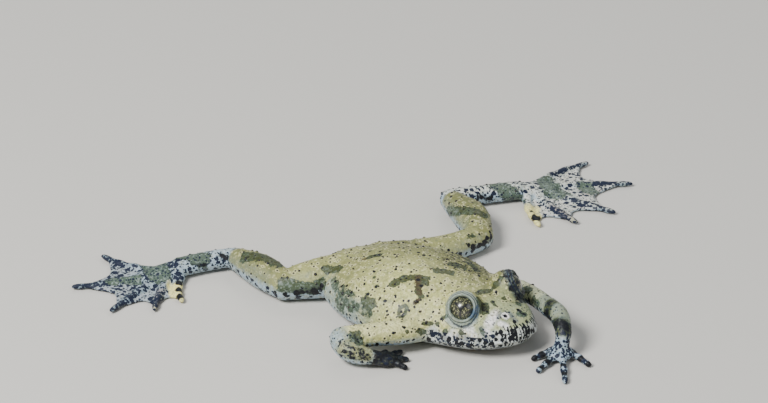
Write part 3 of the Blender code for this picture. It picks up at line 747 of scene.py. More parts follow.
@dataclass
class Brow:
    """Mound, rim and ringed folds of skin round one eye, with the socket behind it."""

    centre: Vector
    axis: Vector
    mound_radius: float = 3.1
    socket_radius: float = 2.36
    opening: Rows = ((0.4, 1.55), (1.6, 1.84), (4.0, 2.8))
    opening_points: int = 32
    rim_lean: float = 46.0
    rim_distance: float = 2.93
    rim_thickness: float = 0.3
    ring_start: float = 41.0
    ring_end: float = 67.0
    fold_depth: float = 0.05
    fold_step: float = 10.0
    blue_marks: tuple[Mark, ...] = ()
    shade: float = 0.0
    shade_side: Place = (0.8, 0.2, 0.55)

    def shape(self, clay: Clay) -> None:
        """Heaps the mound and the thick rim of the lids."""
        clay.ball(self.centre, [self.mound_radius] * 3)
        lean = math.radians(self.rim_lean)
        middle = self.centre + self.axis * self.rim_distance * math.cos(lean)
        radius = self.rim_distance * math.sin(lean)
        clay.hoop(middle, self.axis, radius, self.rim_thickness)

    def hollow(self, cutter: Clay) -> None:
        """Heaps what is cut out for the eyeball and the opening between the lids."""
        cutter.ball(self.centre, [self.socket_radius] * 3)
        turn = Vector((0, 0, 1)).rotation_difference(self.axis).to_matrix()
        rings = []
        for height, radius in self.opening:
            ring = []
            for i in range(self.opening_points):
                a = 2 * math.pi * i / self.opening_points
                local = Vector((radius * math.cos(a), radius * math.sin(a), height))
                ring.append(self.centre + turn @ local)
            rings.append(ring)
        cutter.loft(rings)

    def angles(self, hide: Hide) -> tuple[np.ndarray, np.ndarray]:
        """Each point's angle from the eye's axis in degrees, and its distance from the eye."""
        away = hide.points - np.array(self.centre)
        distance = np.linalg.norm(away, axis=1)
        lean = (away @ np.array(self.axis)) / np.maximum(distance, 1e-6)
        return np.degrees(np.arccos(np.clip(lean, -1, 1))), distance

    def fold_field(self, hide: Hide) -> np.ndarray:
        """Fine ringed folds round the lids."""
        angle, distance = self.angles(hide)
        wave = np.cos(2 * math.pi * (angle - self.rim_lean) / self.fold_step)
        window = step(self.rim_lean + 4, self.rim_lean + 9, angle)
        window *= step(self.ring_end + 24, self.ring_end, angle)
        window *= step(self.mound_radius + 1.0, self.mound_radius + 0.3, distance)
        return self.fold_depth * wave * window

    def paint(self, hide: Hide) -> None:
        """Greys the ringed lids, and darkens their very edge against the eye."""
        angle, distance = self.angles(hide)
        near = step(self.mound_radius + 1.2, self.mound_radius + 0.4, distance)
        ring = near * step(self.ring_end + 5, self.ring_end - 2, angle)
        hide.lay(Pigment.BLUE_GREY, 0.9 * ring)
        hide.lay(Pigment.SLATE, 0.2 * ring * step(self.ring_end, self.ring_start, angle))
        away = (hide.points - np.array(self.centre)) @ np.array(self.shade_side)
        shaded = self.shade * near * step(self.ring_end + 14, self.ring_end + 2, angle)
        shaded *= step(-2.6, -1.4, away)
        hide.lay(Pigment.SLATE, 0.8 * shaded)
        hide.raise_layer("black", np.where(shaded > 0.1, 0.09 * shaded, CLEAR))
        for mark in self.blue_marks:
            hide.lay(Pigment.DEEP_BLUE, 0.95 * step(-0.2, 0.4, mark.value_at(hide.points)))
        share = (angle - self.ring_start) / (self.ring_end - self.ring_start)
        hide.layers["lid"] = np.where(near > 0.5, share, hide.layers["lid"])
        hide.fade_layer("grain", 0.85 * ring)
        hide.fade_layer("belly", near * step(100.0, 90.0, angle))
        hide.fade_layer("spots", near * step(100.0, 90.0, angle))
        hide.layers["wet"] = np.maximum(hide.layers["wet"], ring)


@dataclass
class Snout:
    """Lips, line of the mouth, nostrils and the face's own colours."""

    mouth_back: tuple[float, float] = (11.6, 2.1)
    mouth_front: tuple[float, float] = (22.3, 3.2)
    mouth_points: int = 25
    groove_width: float = 0.2
    groove_depth: float = 0.26
    lip_radius: float = 0.42
    lip_rise: float = 0.55
    lower_roundness: float = 2.5
    nostrils: tuple[Place, ...] = ()
    nostril_radius: float = 0.3
    nostril_depth: float = 0.4
    nostril_rim: float = 0.1
    nostril_rim_place: float = 1.7
    nostril_rim_width: float = 0.5
    nostril_gap: np.ndarray = field(default_factory=lambda: np.zeros(0))
    ring_gap: np.ndarray = field(default_factory=lambda: np.zeros(0))
    bar_span: tuple[float, float] = (0.33, 0.72)
    bar_start: float = 0.4
    bar_reach: tuple[float, float] = (1.7, 3.7)
    # White skin; the first patch, on the cheek, also stands for a painted highlight.
    white_and_highlight_patches: tuple[tuple[Rows, float], ...] = (
        (((3.9, 18.6, 6.4), (2.8, 18.4, 7.0), (1.9, 18.3, 7.3)), 0.95),
        (((2.6, 19.8, 6.4), (2.1, 20.7, 6.0)), 0.6),
        (((4.9, 18.9, 5.4),), 0.7),
        (((7.2, 15.9, 5.0), (6.4, 16.7, 5.5)), 0.8),
        (((6.5, 17.5, 4.6),), 0.7),
        (((7.9, 14.6, 4.4),), 0.7),
    )
    lavender_patches: tuple[tuple[Rows, float], ...] = (
        (((8.9, 12.4, 3.3), (8.6, 13.5, 3.2)), 0.9),
        (((6.2, 18.3, 3.7),), 0.7),
        (((5.1, 19.2, 4.5),), 0.45),
        (((5.3, 18.1, 5.8), (5.2, 18.7, 5.1)), 0.6),
        (((1.3, 18.4, 7.4), (2.1, 19.0, 7.0)), 0.42),
        (((0.1, 19.7, 7.0), (0.2, 21.0, 6.4)), 0.6),
        (((7.6, 15.4, 4.2), (7.1, 16.7, 4.1)), 0.8),
        (((12.6, 8.7, 2.8),), 0.8),
        (((-9.0, 12.4, 3.4), (-8.6, 13.6, 3.4)), 0.95),
        (((-7.4, 16.0, 4.6), (-6.8, 17.2, 4.5)), 1.0),
    )
    blots: Rows = (
        (3.2, 20.5, 5.3, 0.45), (3.9, 20.2, 5.1, 0.32), (4.8, 20.0, 3.5, 0.5),
        (4.1, 20.3, 4.2, 0.36), (3.4, 21.0, 4.1, 0.36), (3.0, 21.5, 3.5, 0.42),
        (2.2, 21.7, 4.2, 0.5), (1.7, 21.6, 5.4, 0.4), (1.7, 21.9, 4.6, 0.4), (0.5, 21.0, 6.3, 0.38),
        (5.5, 19.2, 3.7, 0.36), (5.9, 18.4, 4.1, 0.4), (6.8, 17.5, 3.1, 0.45),
        (3.3, 20.5, 2.9, 0.36), (6.7, 17.3, 4.0, 0.3), (9.5, 10.3, 2.6, 0.42),
        (8.4, 13.9, 3.4, 0.45), (7.7, 16.0, 3.1, 0.55), (12.0, 9.3, 3.0, 0.32),
        (8.0, 15.2, 3.2, 0.35), (-1.5, 21.9, 5.8, 0.4), (-2.3, 20.7, 6.5, 0.36),
        (8.0, 11.7, 6.2, 0.3), (0.4, 16.2, 8.1, 0.28),
    )
    black_marks: tuple[Mark, ...] = (
        Mark(((-2.0, 20.1, 6.7), (-2.4, 20.6, 6.5)), 0.45, 0.06),
        Mark(((2.5, 16.0, 8.3), (2.8, 16.4, 7.9)), 0.6, 0.07),
    )
    olive_marks: tuple[Mark, ...] = (
        Mark(((3.2, 15.6, 9.2), (2.5, 16.0, 8.2), (3.0, 16.6, 7.7)), 0.95),
        Mark(((0.8, 13.3, 8.8), (-0.9, 13.8, 8.7), (-1.9, 14.3, 9.5), (-2.6, 14.8, 10.4)), 0.6),
        Mark(((-2.9, 14.7, 10.7), (-2.3, 14.9, 10.2)), 0.5),
        Mark(((0.6, 16.2, 8.1),), 0.4),
        Mark(((0.8, 16.9, 7.9),), 0.4, 0.3),
        Mark(((-1.8, 16.6, 8.0),), 0.45),
        Mark(((-1.7, 20.3, 6.7), (-2.3, 20.7, 6.5)), 0.75),
        Mark(((-3.4, 18.4, 7.0),), 0.6),
        Mark(((-3.4, 17.4, 9.4), (-3.9, 17.3, 10.2)), 0.8, 0.7),
        Mark(((7.3, 15.6, 4.9),), 0.5),
        Mark(((8.5, 13.0, 4.6),), 0.5),
        Mark(((11.0, 9.7, 4.4), (10.4, 10.0, 4.0)), 0.6),
        Mark(((12.9, 8.8, 4.7),), 0.4),
        Mark(((5.3, 18.1, 5.8), (5.2, 18.7, 5.1)), 0.42, 0.1),
    )

    def line(self, rise: float = 0.0) -> list[Vector]:
        """Places along the mouth, from the right corner round the snout to the left."""
        rows = smooth_path(CORE_STATIONS, 16)
        right, left = [], []
        for i in range(self.mouth_points):
            share = math.sin(math.pi / 2 * i / (self.mouth_points - 1))
            y = self.mouth_back[0] + (self.mouth_front[0] - self.mouth_back[0]) * share
            z = self.mouth_back[1] + (self.mouth_front[1] - self.mouth_back[1]) * share
            row = min(rows, key=lambda station: abs(station[0] - y))
            midline, half_width, underside, middle = row[1], row[2], row[4], row[5]
            depth = max(0.0, (middle - z - rise) / (middle - underside))
            across = max(0.0, 1 - depth**self.lower_roundness)
            across = half_width * across ** (1 / self.lower_roundness)
            right.append(Vector((midline + across, y, z + rise)))
            left.append(Vector((midline - across, y, z + rise)))
        front = (right.pop() + left.pop()) / 2
        return [*right, front, *reversed(left)]

    def shape(self, clay: Clay) -> None:
        """Heaps the roll of the upper lip."""
        roll = [(*place, self.lip_radius, self.lip_radius) for place in self.line(self.lip_rise)]
        clay.limb(roll, around=10, steps=2)

    def groove_field(self, hide: Hide) -> np.ndarray:
        """The closed mouth, a fine groove under the lip."""
        gaps, _ = gap_to_path(hide.points, self.line())
        return -self.groove_depth * np.exp(-((gaps / self.groove_width) ** 2))

    def nostril_field(self, hide: Hide) -> np.ndarray:
        """Two small pits, each in a low rim."""
        depth = np.zeros(len(hide.points))
        self.nostril_gap = np.full(len(hide.points), 99.0)
        for nostril in self.nostrils:
            gap = hide.away(nostril) / self.nostril_radius
            depth -= self.nostril_depth * np.clip(1 - gap**2, 0, 1)
            from_rim = (gap - self.nostril_rim_place) / self.nostril_rim_width
            depth += self.nostril_rim * np.exp(-(from_rim**2))
            self.nostril_gap = np.minimum(self.nostril_gap, gap)
            self.ring_gap = self.nostril_gap if nostril == self.nostrils[0] else self.ring_gap
        return depth

    def paint_bars(self, hide: Hide) -> None:
        """Lays out the dark bars round the snout: how far along the lip, and how strong."""
        line = self.line(self.bar_start)
        gaps, share = gap_to_path(hide.points, line)
        length = sum((b - a).length for a, b in zip(line, line[1:]))
        first, last = self.bar_span
        strength = step(first - 0.04, first + 0.06, share) * step(last + 0.04, last - 0.06, share)
        strength *= step(self.bar_reach[1], self.bar_reach[0], gaps)
        strength *= step(-0.9, -0.3, hide.normals[:, 2])
        hide.layers["lip"] = share * length
        hide.layers["bars"] = strength
        hide.fade_layer("spots", step(0.2, 0.5, strength))
        hide.fade_layer("dots", 0.7 * step(0.2, 0.5, strength))

    def paint(self, hide: Hide) -> None:
        """Mint snout, white cheek and lip with a painted highlight, lavender patches, dark bars,
        nostrils and painted shade beneath.
        """
        _, y, z = hide.points.T
        up = hide.normals[:, 2]
        hide.lay(Pigment.MINT, 0.75 * step(14.0, 17.0, y))
        jaw = step(8.6, 11.0, y) * step(5.4, 4.2, z + 0.5 * np.sin(2.1 * y))
        front = step(17.0, 20.0, y) * step(6.0, 5.0, z)
        pale = np.maximum(jaw, front)
        hide.lay(Pigment.BLUE_WHITE, 0.65 * pale)
        hide.lay(Pigment.WHITE, 0.5 * pale)
        # White patches, the cheek's one partly a painted highlight, then lavender patches.
        for pigment, share, patches in (
            (Pigment.WHITE, 1.0, self.white_and_highlight_patches),
            (Pigment.LAVENDER, 0.75, self.lavender_patches),
        ):
            for places, width in patches:
                patch = Mark(places, width).value_at(hide.points)
                hide.lay(pigment, share * step(-0.3, 0.6, patch))
        hide.draw("black", self.black_marks)
        hide.blot(self.blots)
        # Grey surround and pale ring only round the near nostril; the far nostril's ring is left
        # out as painted shade.
        hide.lay(Pigment.GREY_GREEN, 0.45 * step(5.4, 2.8, self.ring_gap))
        hide.lay(Pigment.WHITE, step(2.5, 2.0, self.ring_gap))
        hide.raise_layer("black", 1.5 - self.nostril_gap / 0.85)
        hide.draw("olive", self.olive_marks)
        side = step(9.0, 11.0, y) * step(4.9, 3.9, z)
        side = np.maximum(side, step(17.5, 20.0, y) * step(5.9, 5.1, z))
        hide.raise_layer("spots", side)
        hide.raise_layer("dots", side)
        hide.raise_layer("dots", 0.55 * step(16.5, 18.5, y))
        hide.raise_layer("cover", side * step(1.0, 2.2, z))
        self.paint_bars(hide)
        hide.fade_layer("grain", 0.8 * np.maximum(side, step(17.0, 19.0, y)))
        # Painted shade: slate darkens the downward-facing skin under the head.
        under = step(-0.35, -0.7, up) * step(9.0, 11.0, y)
        hide.lay(Pigment.SLATE, 0.6 * under)


@dataclass
class Arm:
    """One fore limb: upper arm, forearm, palm and four blunt fingers."""

    side: Side
    palm: Place
    palm_size: Place
    finger_roots: Rows
    finger_tips: Rows
    knuckle_height: float
    bands: tuple[Mark, ...]
    streaks: tuple[Mark, ...]
    dark_bands: tuple[Mark, ...]
    blots: Rows
    # How far the hand is painted near black, as shade under its arm.
    shaded_hand: float
    pale_elbow: float
    mottle: float
    finger_radius: float = 0.6
    finger_top: float = 1.7
    swelling: float = 1.16

    def shape(self, clay: Clay) -> None:
        """Heaps the limb from shoulder to finger tips."""
        clay.limb(UPPER_ARM[self.side])
        clay.limb(FOREARM[self.side])
        elbow = FOREARM[self.side][0]
        clay.ball(elbow[:3], (elbow[3] * 0.98,) * 3)
        clay.ball(self.palm, self.palm_size)
        wrist, palm = Vector(FOREARM[self.side][-1][:3]), Vector(self.palm)
        clay.limb(
            (
                (*wrist, 1.25, 1.25),
                (*wrist.lerp(palm, 0.5), 1.3, 1.15),
                (*(palm + Vector((0, 0, 0.25))), 1.45, 1.05),
            )
        )
        for finger in self.fingers():
            clay.limb(finger, around=14, steps=5)

    def fingers(self) -> list[Rows]:
        """Waypoints of each finger, swollen at its joints and blunt at its tip."""
        made = []
        palm = Vector(self.palm)
        r = self.finger_radius
        for root, tip in zip(map(Vector, self.finger_roots), map(Vector, self.finger_tips)):
            start = palm.xy.lerp(root, 0.4)
            high = self.knuckle_height
            made.append(
                (
                    (*start, 1.1, r, r),
                    (*root, 1.0, r * 1.12, r * 1.05),
                    (*root.lerp(tip, 0.28), high * 0.86, r * 0.9, r * 0.88),
                    (*root.lerp(tip, 0.48), high * 0.84, r * self.swelling, r),
                    (*root.lerp(tip, 0.72), high * 0.66, r * 0.82, r * 0.8),
                    (*root.lerp(tip, 0.9), 0.6, r * 0.95, r * 0.9),
                    (*tip, 0.5, r * 0.86, r * 0.82),
                )
            )
        return made

    def fold_field(self, hide: Hide) -> np.ndarray:
        """Cross folds inside the elbow and round the wrist."""
        return crease_field(hide, FOREARM[self.side], ((0.05, 0.12), (0.92, 0.1)), 0.07)

    def paint(self, hide: Hide) -> None:
        """Cream upper arm, streaked forearm with dark bands, and a spotted pale hand, near black
        where painted shade lies on it.
        """
        up = hide.normals[:, 2]
        upper, along = hide.limb(UPPER_ARM[self.side])
        fore, _ = hide.limb(FOREARM[self.side])
        hand = step(3.4, 2.6, hide.away(self.palm))
        low = step(self.finger_top + 0.25, self.finger_top, hide.points[:, 2])
        for finger in self.fingers():
            gaps, _ = hide.limb(finger)
            hand = np.maximum(hand, low * step(1.9, 1.3, gaps))
        hand = hand * (1 - step(1.3, 1.1, upper))
        on_upper = step(1.3, 1.05, upper) * step(0.0, 0.3, along)
        on_fore = step(1.5, 1.15, fore) * (1 - hand)
        below = step(0.05, -0.45, up)
        hide.lay(Pigment.SAND, on_upper)
        hide.lay(Pigment.CREAM, 0.45 * on_upper * step(0.1, 0.7, up))
        hide.lay(Pigment.BLUE_GREY, 0.7 * self.mottle * on_upper)
        hide.fade_layer("grain", 0.5 * self.mottle * on_upper)
        hide.raise_layer("dots", 0.8 * self.mottle * on_upper)
        hide.lay(Pigment.OLIVE_SAND, 0.9 * on_fore)
        hide.lay(Pigment.BLUE_GREY, (0.2 + 0.4 * self.mottle) * on_fore)
        hide.lay(Pigment.BLUE_WHITE, np.maximum(on_upper, on_fore) * below)
        elbow = hide.away(FOREARM[self.side][0][:3])
        hide.lay(Pigment.BLUE_WHITE, self.pale_elbow * step(3.0, 1.9, elbow))
        hide.lay(Pigment.BLUE_WHITE, hand)
        # Painted shade: a hand that lies under its arm is painted near black.
        hide.lay(Pigment.NAVY, self.shaded_hand * hand)
        if self.shaded_hand:
            hide.raise_layer("black", np.where(hand > 0.5, 0.1 * self.shaded_hand, CLEAR))
        hide.draw("olive", self.bands)
        for mark in self.bands:
            hide.raise_layer("black", 0.3 * mark.value_at(hide.points) - 0.24)
        hide.draw("black", self.streaks)
        for mark in self.dark_bands:
            value = mark.value_at(hide.points)
            hide.lay(Pigment.BOTTLE, step(-0.1, 0.3, value))
            hide.raise_layer("black", 0.35 * value - 0.12)
        hide.blot(self.blots)
        hide.raise_layer("spots", np.maximum(hand, on_fore * below))
        hide.raise_layer("dots", np.maximum(hand, 0.6 * on_fore))
        hide.raise_layer("cover", 1.3 * hand)
        for number, finger in enumerate(self.fingers()):
            gaps, along = hide.limb(finger)
            bands = np.cos(2 * math.pi * (3.1 * along + 0.3 * number)) - 0.15
            on_finger = step(1.4, 1.1, gaps) * step(0.25, 0.4, along) * low
            hide.raise_layer("black", np.where(on_finger > 0.3, bands, CLEAR))
            # Painted shade: on a shaded hand the pale bands of the fingers are only slate.
            pale = self.shaded_hand * on_finger * np.clip(-bands, 0, 1)
            hide.lay(Pigment.SLATE, 0.6 * pale)
        hide.fade_layer("grain", np.maximum(hand, 0.6 * on_fore))
        hide.fade_layer("belly", np.maximum(hand, 0.6 * on_fore))


def crease_field(
    hide: Hide, waypoints: Rows, places: Iterable[tuple[float, float]], depth: float
) -> np.ndarray:
    """Fine cross folds round a limb.

    Args:
        hide: The skin.
        waypoints: The limb's own waypoints.
        places: The share along the limb where each set of folds lies, and how far it spreads.
        depth: How deep the folds are.

    Returns:
        How far each point of the skin sinks or rises.
    """
    gaps, share = hide.limb(waypoints)
    on_limb = step(1.6, 1.2, gaps)
    fall = np.zeros(len(hide.points))
    for place, spread in places:
        wave = np.cos(2 * math.pi * (share - place) / (spread * 0.45))
        fall -= depth * wave * np.exp(-(((share - place) / spread) ** 2)) * on_limb
    return fall


@dataclass
class Leg:
    """One hind limb: thigh, shank, tarsus and a webbed foot of five toes."""

    side: Side
    sole_end: tuple[float, float]
    toe_tips: Rows
    patches: tuple[Mark, ...]
    bands: tuple[Mark, ...]
    toe_spots: tuple[Mark, ...]
    navy_marks: tuple[Mark, ...]
    blots: Rows
    pale_top: float
    dark_foot: float
    toe_roots: Rows = ((1.0, 2.2), (2.8, 1.5), (4.6, 0.8), (5.6, -0.7), (3.8, -2.0))
    toe_radii: tuple[float, ...] = (0.95, 0.74, 0.84, 0.6, 0.7, 0.5, 0.58, 0.42)
    toe_shares: tuple[float, ...] = (0.0, 0.2, 0.36, 0.5, 0.64, 0.78, 0.9, 1.0)
    toe_height: float = 0.62
    sole_heel: tuple[float, ...] = (-0.6, 1.5, 2.1, 1.35)
    sole_middle: tuple[float, ...] = (2.4, 1.2, 2.6, 1.1)
    sole_front: tuple[float, ...] = (0.8, 2.9, 0.76)
    navy_share: float = 0.35
    navy_bias: float = 0.14
    web_reach: float = 0.84
    web_notch: float = 0.3
    web_half_thickness: float = 0.24
    web_height: float = 0.5
    web_sag: float = 0.12
    web_rows: int = 14
    web_columns: int = 12

    def frame(self) -> tuple[Vector, Vector, Vector]:
        """Where the foot starts, the way it points and the way towards its first toe."""
        start = Vector(TARSUS[self.side][-1][:2])
        along = (Vector(self.sole_end) - start).normalized()
        across = Vector((-along.y, along.x))
        if across.dot(Vector(self.toe_tips[0]) - start) < 0:
            across = -across
        return start, along, across

    def toes(self) -> list[Rows]:
        """Waypoints of each toe, swollen at its joints, with a slight bow."""
        start, along, across = self.frame()
        made = []
        for number, ((a, b), tip) in enumerate(zip(self.toe_roots, self.toe_tips)):
            root, tip = start + along * a + across * b, Vector(tip)
            way = tip - root
            bow = Vector((-way.y, way.x)) * 0.03 * (number - 2)
            rows = []
            for share, radius in zip(self.toe_shares, self.toe_radii):
                place = root.lerp(tip, share) + bow * math.sin(math.pi * share)
                height = self.toe_height + 0.2 * (1 - share) ** 2
                rows.append((*place, max(height, radius * 0.8), radius, radius * 0.92))
            made.append(tuple(rows))
        return made

    def shape(self, clay: Clay) -> None:
        """Heaps the limb from hip to toe tips, with its calf and the webs between the toes."""
        for table in (THIGH, SHANK, TARSUS):
            clay.limb(table[self.side])
        knee = SHANK[self.side][0]
        clay.ball(knee[:3], (knee[3] * 1.02,) * 3)
        start, along, _ = self.frame()
        heel, middle = self.sole_heel, self.sole_middle
        clay.limb(
            (
                (*(start + along * heel[0]), *heel[1:]),
                (*(start + along * middle[0]), *middle[1:]),
                (*self.sole_end, *self.sole_front),
            )
        )
        toes = self.toes()
        for toe in toes:
            clay.limb(toe, around=14, steps=4)
        for near, far in zip(toes, toes[1:]):
            clay.sheet(self.web(near, far), self.web_half_thickness)

    def web(self, near: Rows, far: Rows) -> list[list[Vector]]:
        """Places over the web between two toes, hollow along its free edge.

        Args:
            near: Waypoints of one toe.
            far: Waypoints of the next toe.

        Returns:
            Rows of places from the sole to the free edge.
        """
        near_path, far_path = smooth_path(near, 4), smooth_path(far, 4)

        def place_on(path: list[Vector], share: float) -> Vector:
            """The place at a share of a toe's path."""
            at = share * (len(path) - 1)
            low = min(int(at), len(path) - 2)
            return path[low].lerp(path[low + 1], at - low)

        grid = []
        for i in range(self.web_rows + 1):
            row = []
            for j in range(self.web_columns + 1):
                across = j / self.web_columns
                reach = self.web_reach * (1 - self.web_notch * math.sin(math.pi * across))
                share = i / self.web_rows * reach
                place = place_on(near_path, share).lerp(place_on(far_path, share), across)
                sag = self.web_sag * math.sin(math.pi * across) * (0.4 + 0.6 * share)
                row.append(Vector((place.x, place.y, self.web_height - sag)))
            grid.append(row)
        return grid

    def fold_field(self, hide: Hide) -> np.ndarray:
        """Cross folds at knee and heel, and shallow lines over the web."""
        folds = crease_field(hide, SHANK[self.side], ((0.08, 0.12), (0.96, 0.08)), 0.08)
        return folds + crease_field(hide, TARSUS[self.side], ((0.5, 0.3),), 0.035)

    def on_foot(self, hide: Hide) -> tuple[np.ndarray, np.ndarray]:
        """Which points belong to the whole foot, and which of these to its webs alone."""
        start, along, _ = self.frame()
        away = np.linalg.norm(hide.points[:, :2] - np.array(start + along * 8.0), axis=1)
        behind = (hide.points[:, :2] - np.array(start)) @ np.array(along)
        foot = step(19.0, 18.0, away) * step(-1.2, 0.6, behind)
        if self.side is Side.RIGHT:
            foot *= step(-24.0, -26.0, hide.points[:, 1])
        else:
            foot *= step(-32.0, -33.5, hide.points[:, 0])
        toe_gap = np.full(len(hide.points), 9.0)
        for toe in self.toes():
            gaps, _ = hide.limb(toe)
            toe_gap = np.minimum(toe_gap, gaps)
        sole, _ = gap_to_path(hide.points, ((*start, 0.8), (*self.sole_end, 0.8)))
        web = foot * step(1.15, 1.5, toe_gap) * step(2.6, 3.4, sole)
        return foot, web

    def paint(self, hide: Hide) -> None:
        """Sandy thigh and shank, bluish spotted foot with green bands, pale yellow first toe."""
        up = hide.normals[:, 2]
        upper, _ = hide.limb(THIGH[self.side])
        shank, _ = hide.limb(SHANK[self.side])
        tarsus, _ = hide.limb(TARSUS[self.side])
        foot, web = self.on_foot(hide)
        if self.side is Side.LEFT:
            off_trunk = step(-9.0, -11.0, hide.points[:, 0])
        else:
            off_trunk = step(-10.0, -12.0, hide.points[:, 1] - 6.0)
        on_thigh = step(1.3, 1.1, upper) * off_trunk
        on_shank = step(1.6, 1.2, shank) * (1 - foot)
        on_tarsus = step(1.6, 1.2, tarsus)
        below = step(0.3, -0.2, up)
        hide.lay(Pigment.SAND, 0.7 * on_thigh)
        hide.lay(Pigment.OLIVE_SAND, np.maximum(0.4 * on_thigh, 0.75 * on_shank))
        hide.lay(Pigment.BLUE_WHITE, np.maximum(on_thigh, on_shank) * below)
        hide.lay(Pigment.BLUE_WHITE, np.maximum(on_tarsus, foot))
        top = self.pale_top * np.maximum(on_tarsus, foot) * step(0.5, 0.95, up)
        hide.lay(Pigment.CREAM, 0.7 * top)
        hide.lay(Pigment.WHITE, 0.6 * top)
        hide.lay(Pigment.SLATE, 0.3 * self.dark_foot * foot)
        hide.lay(Pigment.PINK, 0.15 * web)
        first, second = self.toes()[:2]
        gaps, along = hide.limb(first)
        yellow = step(2.9, 2.2, gaps) * step(0.2, 0.4, along)
        hide.lay(Pigment.LEMON, yellow)
        gaps, along = hide.limb(second)
        on_second = step(1.5, 1.15, gaps) * step(0.3, 0.5, along)
        hide.lay(Pigment.PINK, 0.5 * on_second)
        hide.lay(Pigment.CREAM, 0.6 * step(1.9, 1.4, gaps) * step(0.85, 0.95, along))
        hide.draw("olive", (*self.patches, *self.bands))
        lower = np.maximum(on_thigh, on_shank) * below
        hide.raise_layer("spots", np.maximum.reduce([lower, on_tarsus, foot]) * (1 - yellow))
        hide.raise_layer("dots", np.maximum(0.9 * foot, on_tarsus) * (1 - yellow))
        cover = np.maximum((0.2 + self.dark_foot) * foot, 0.4 * on_tarsus)
        for toe in self.toes()[1:]:
            gaps, along = hide.limb(toe)
            dense = step(1.6, 1.3, gaps) * step(0.15, 0.6, along)
            cover = np.maximum(cover, 1.9 * dense)
            hide.lay(Pigment.SLATE, 0.4 * dense)
        hide.raise_layer("cover", np.maximum(cover, 0.8 * lower) * (1 - yellow))
        hide.layers["olive"] = np.where(yellow > 0.3, CLEAR, hide.layers["olive"])
        for mark in self.bands:
            on_band = step(-0.2, 0.3, mark.value_at(hide.points))
            hide.fade_layer("spots", on_band)
            hide.fade_layer("dots", 0.35 * on_band)
        hide.draw("black", self.toe_spots)
        for mark in self.navy_marks:
            value = self.navy_share * mark.value_at(hide.points) - self.navy_bias
            hide.raise_layer("black", value)
        hide.blot(self.blots)
        hide.fade_layer("grain", np.maximum(0.8 * on_tarsus, foot))
        hide.fade_layer("belly", np.maximum(on_tarsus, foot))


class Wire:
    """A number in a material, whose sums and products add Math nodes to its tree."""

    def __init__(self, loom: "Loom", socket: bpy.types.NodeSocket) -> None:
        """Holds one output socket of a node."""
        self.loom = loom
        self.socket = socket

    def _math(self, operation: str, *terms: "Wire | float") -> "Wire":
        """One Math node on these terms."""
        return self.loom.node("ShaderNodeMath", {"operation": operation}, dict(enumerate(terms)))[0]

    def __add__(self, other: "Wire | float") -> "Wire":
        """Sum."""
        return self._math("ADD", self, other)

    def __sub__(self, other: "Wire | float") -> "Wire":
        """Difference."""
        return self._math("SUBTRACT", self, other)

    def __rsub__(self, other: float) -> "Wire":
        """Difference from a number."""
        return self._math("SUBTRACT", other, self)

    def __mul__(self, other: "Wire | float") -> "Wire":
        """Product."""
        return self._math("MULTIPLY", self, other)

    def __gt__(self, other: "Wire | float") -> "Wire":
        """1 where this is the larger, else 0."""
        return self._math("GREATER_THAN", self, other)

    __radd__ = __add__
    __rmul__ = __mul__

    def cosine(self) -> "Wire":
        """The cosine of the angle that this is, in radians."""
        return self._math("COSINE", self)

    def larger(self, other: "Wire | float") -> "Wire":
        """The larger of the two."""
        return self._math("MAXIMUM", self, other)

    def ramp(self, low: float, high: float) -> "Wire":
        """A smooth rise from 0 at low to 1 at high."""
        settings = {"interpolation_type": "SMOOTHSTEP"}
        sockets = {"Value": self, "From Min": low, "From Max": high}
        return self.loom.node("ShaderNodeMapRange", settings, sockets)["Result"]


class Outputs:
    """The outputs of one node, by name or number."""

    def __init__(self, loom: "Loom", node: bpy.types.Node) -> None:
        """Holds the node."""
        self.loom = loom
        self.node = node

    def __getitem__(self, key: str | int) -> Wire:
        """One output."""
        return Wire(self.loom, self.node.outputs[key])


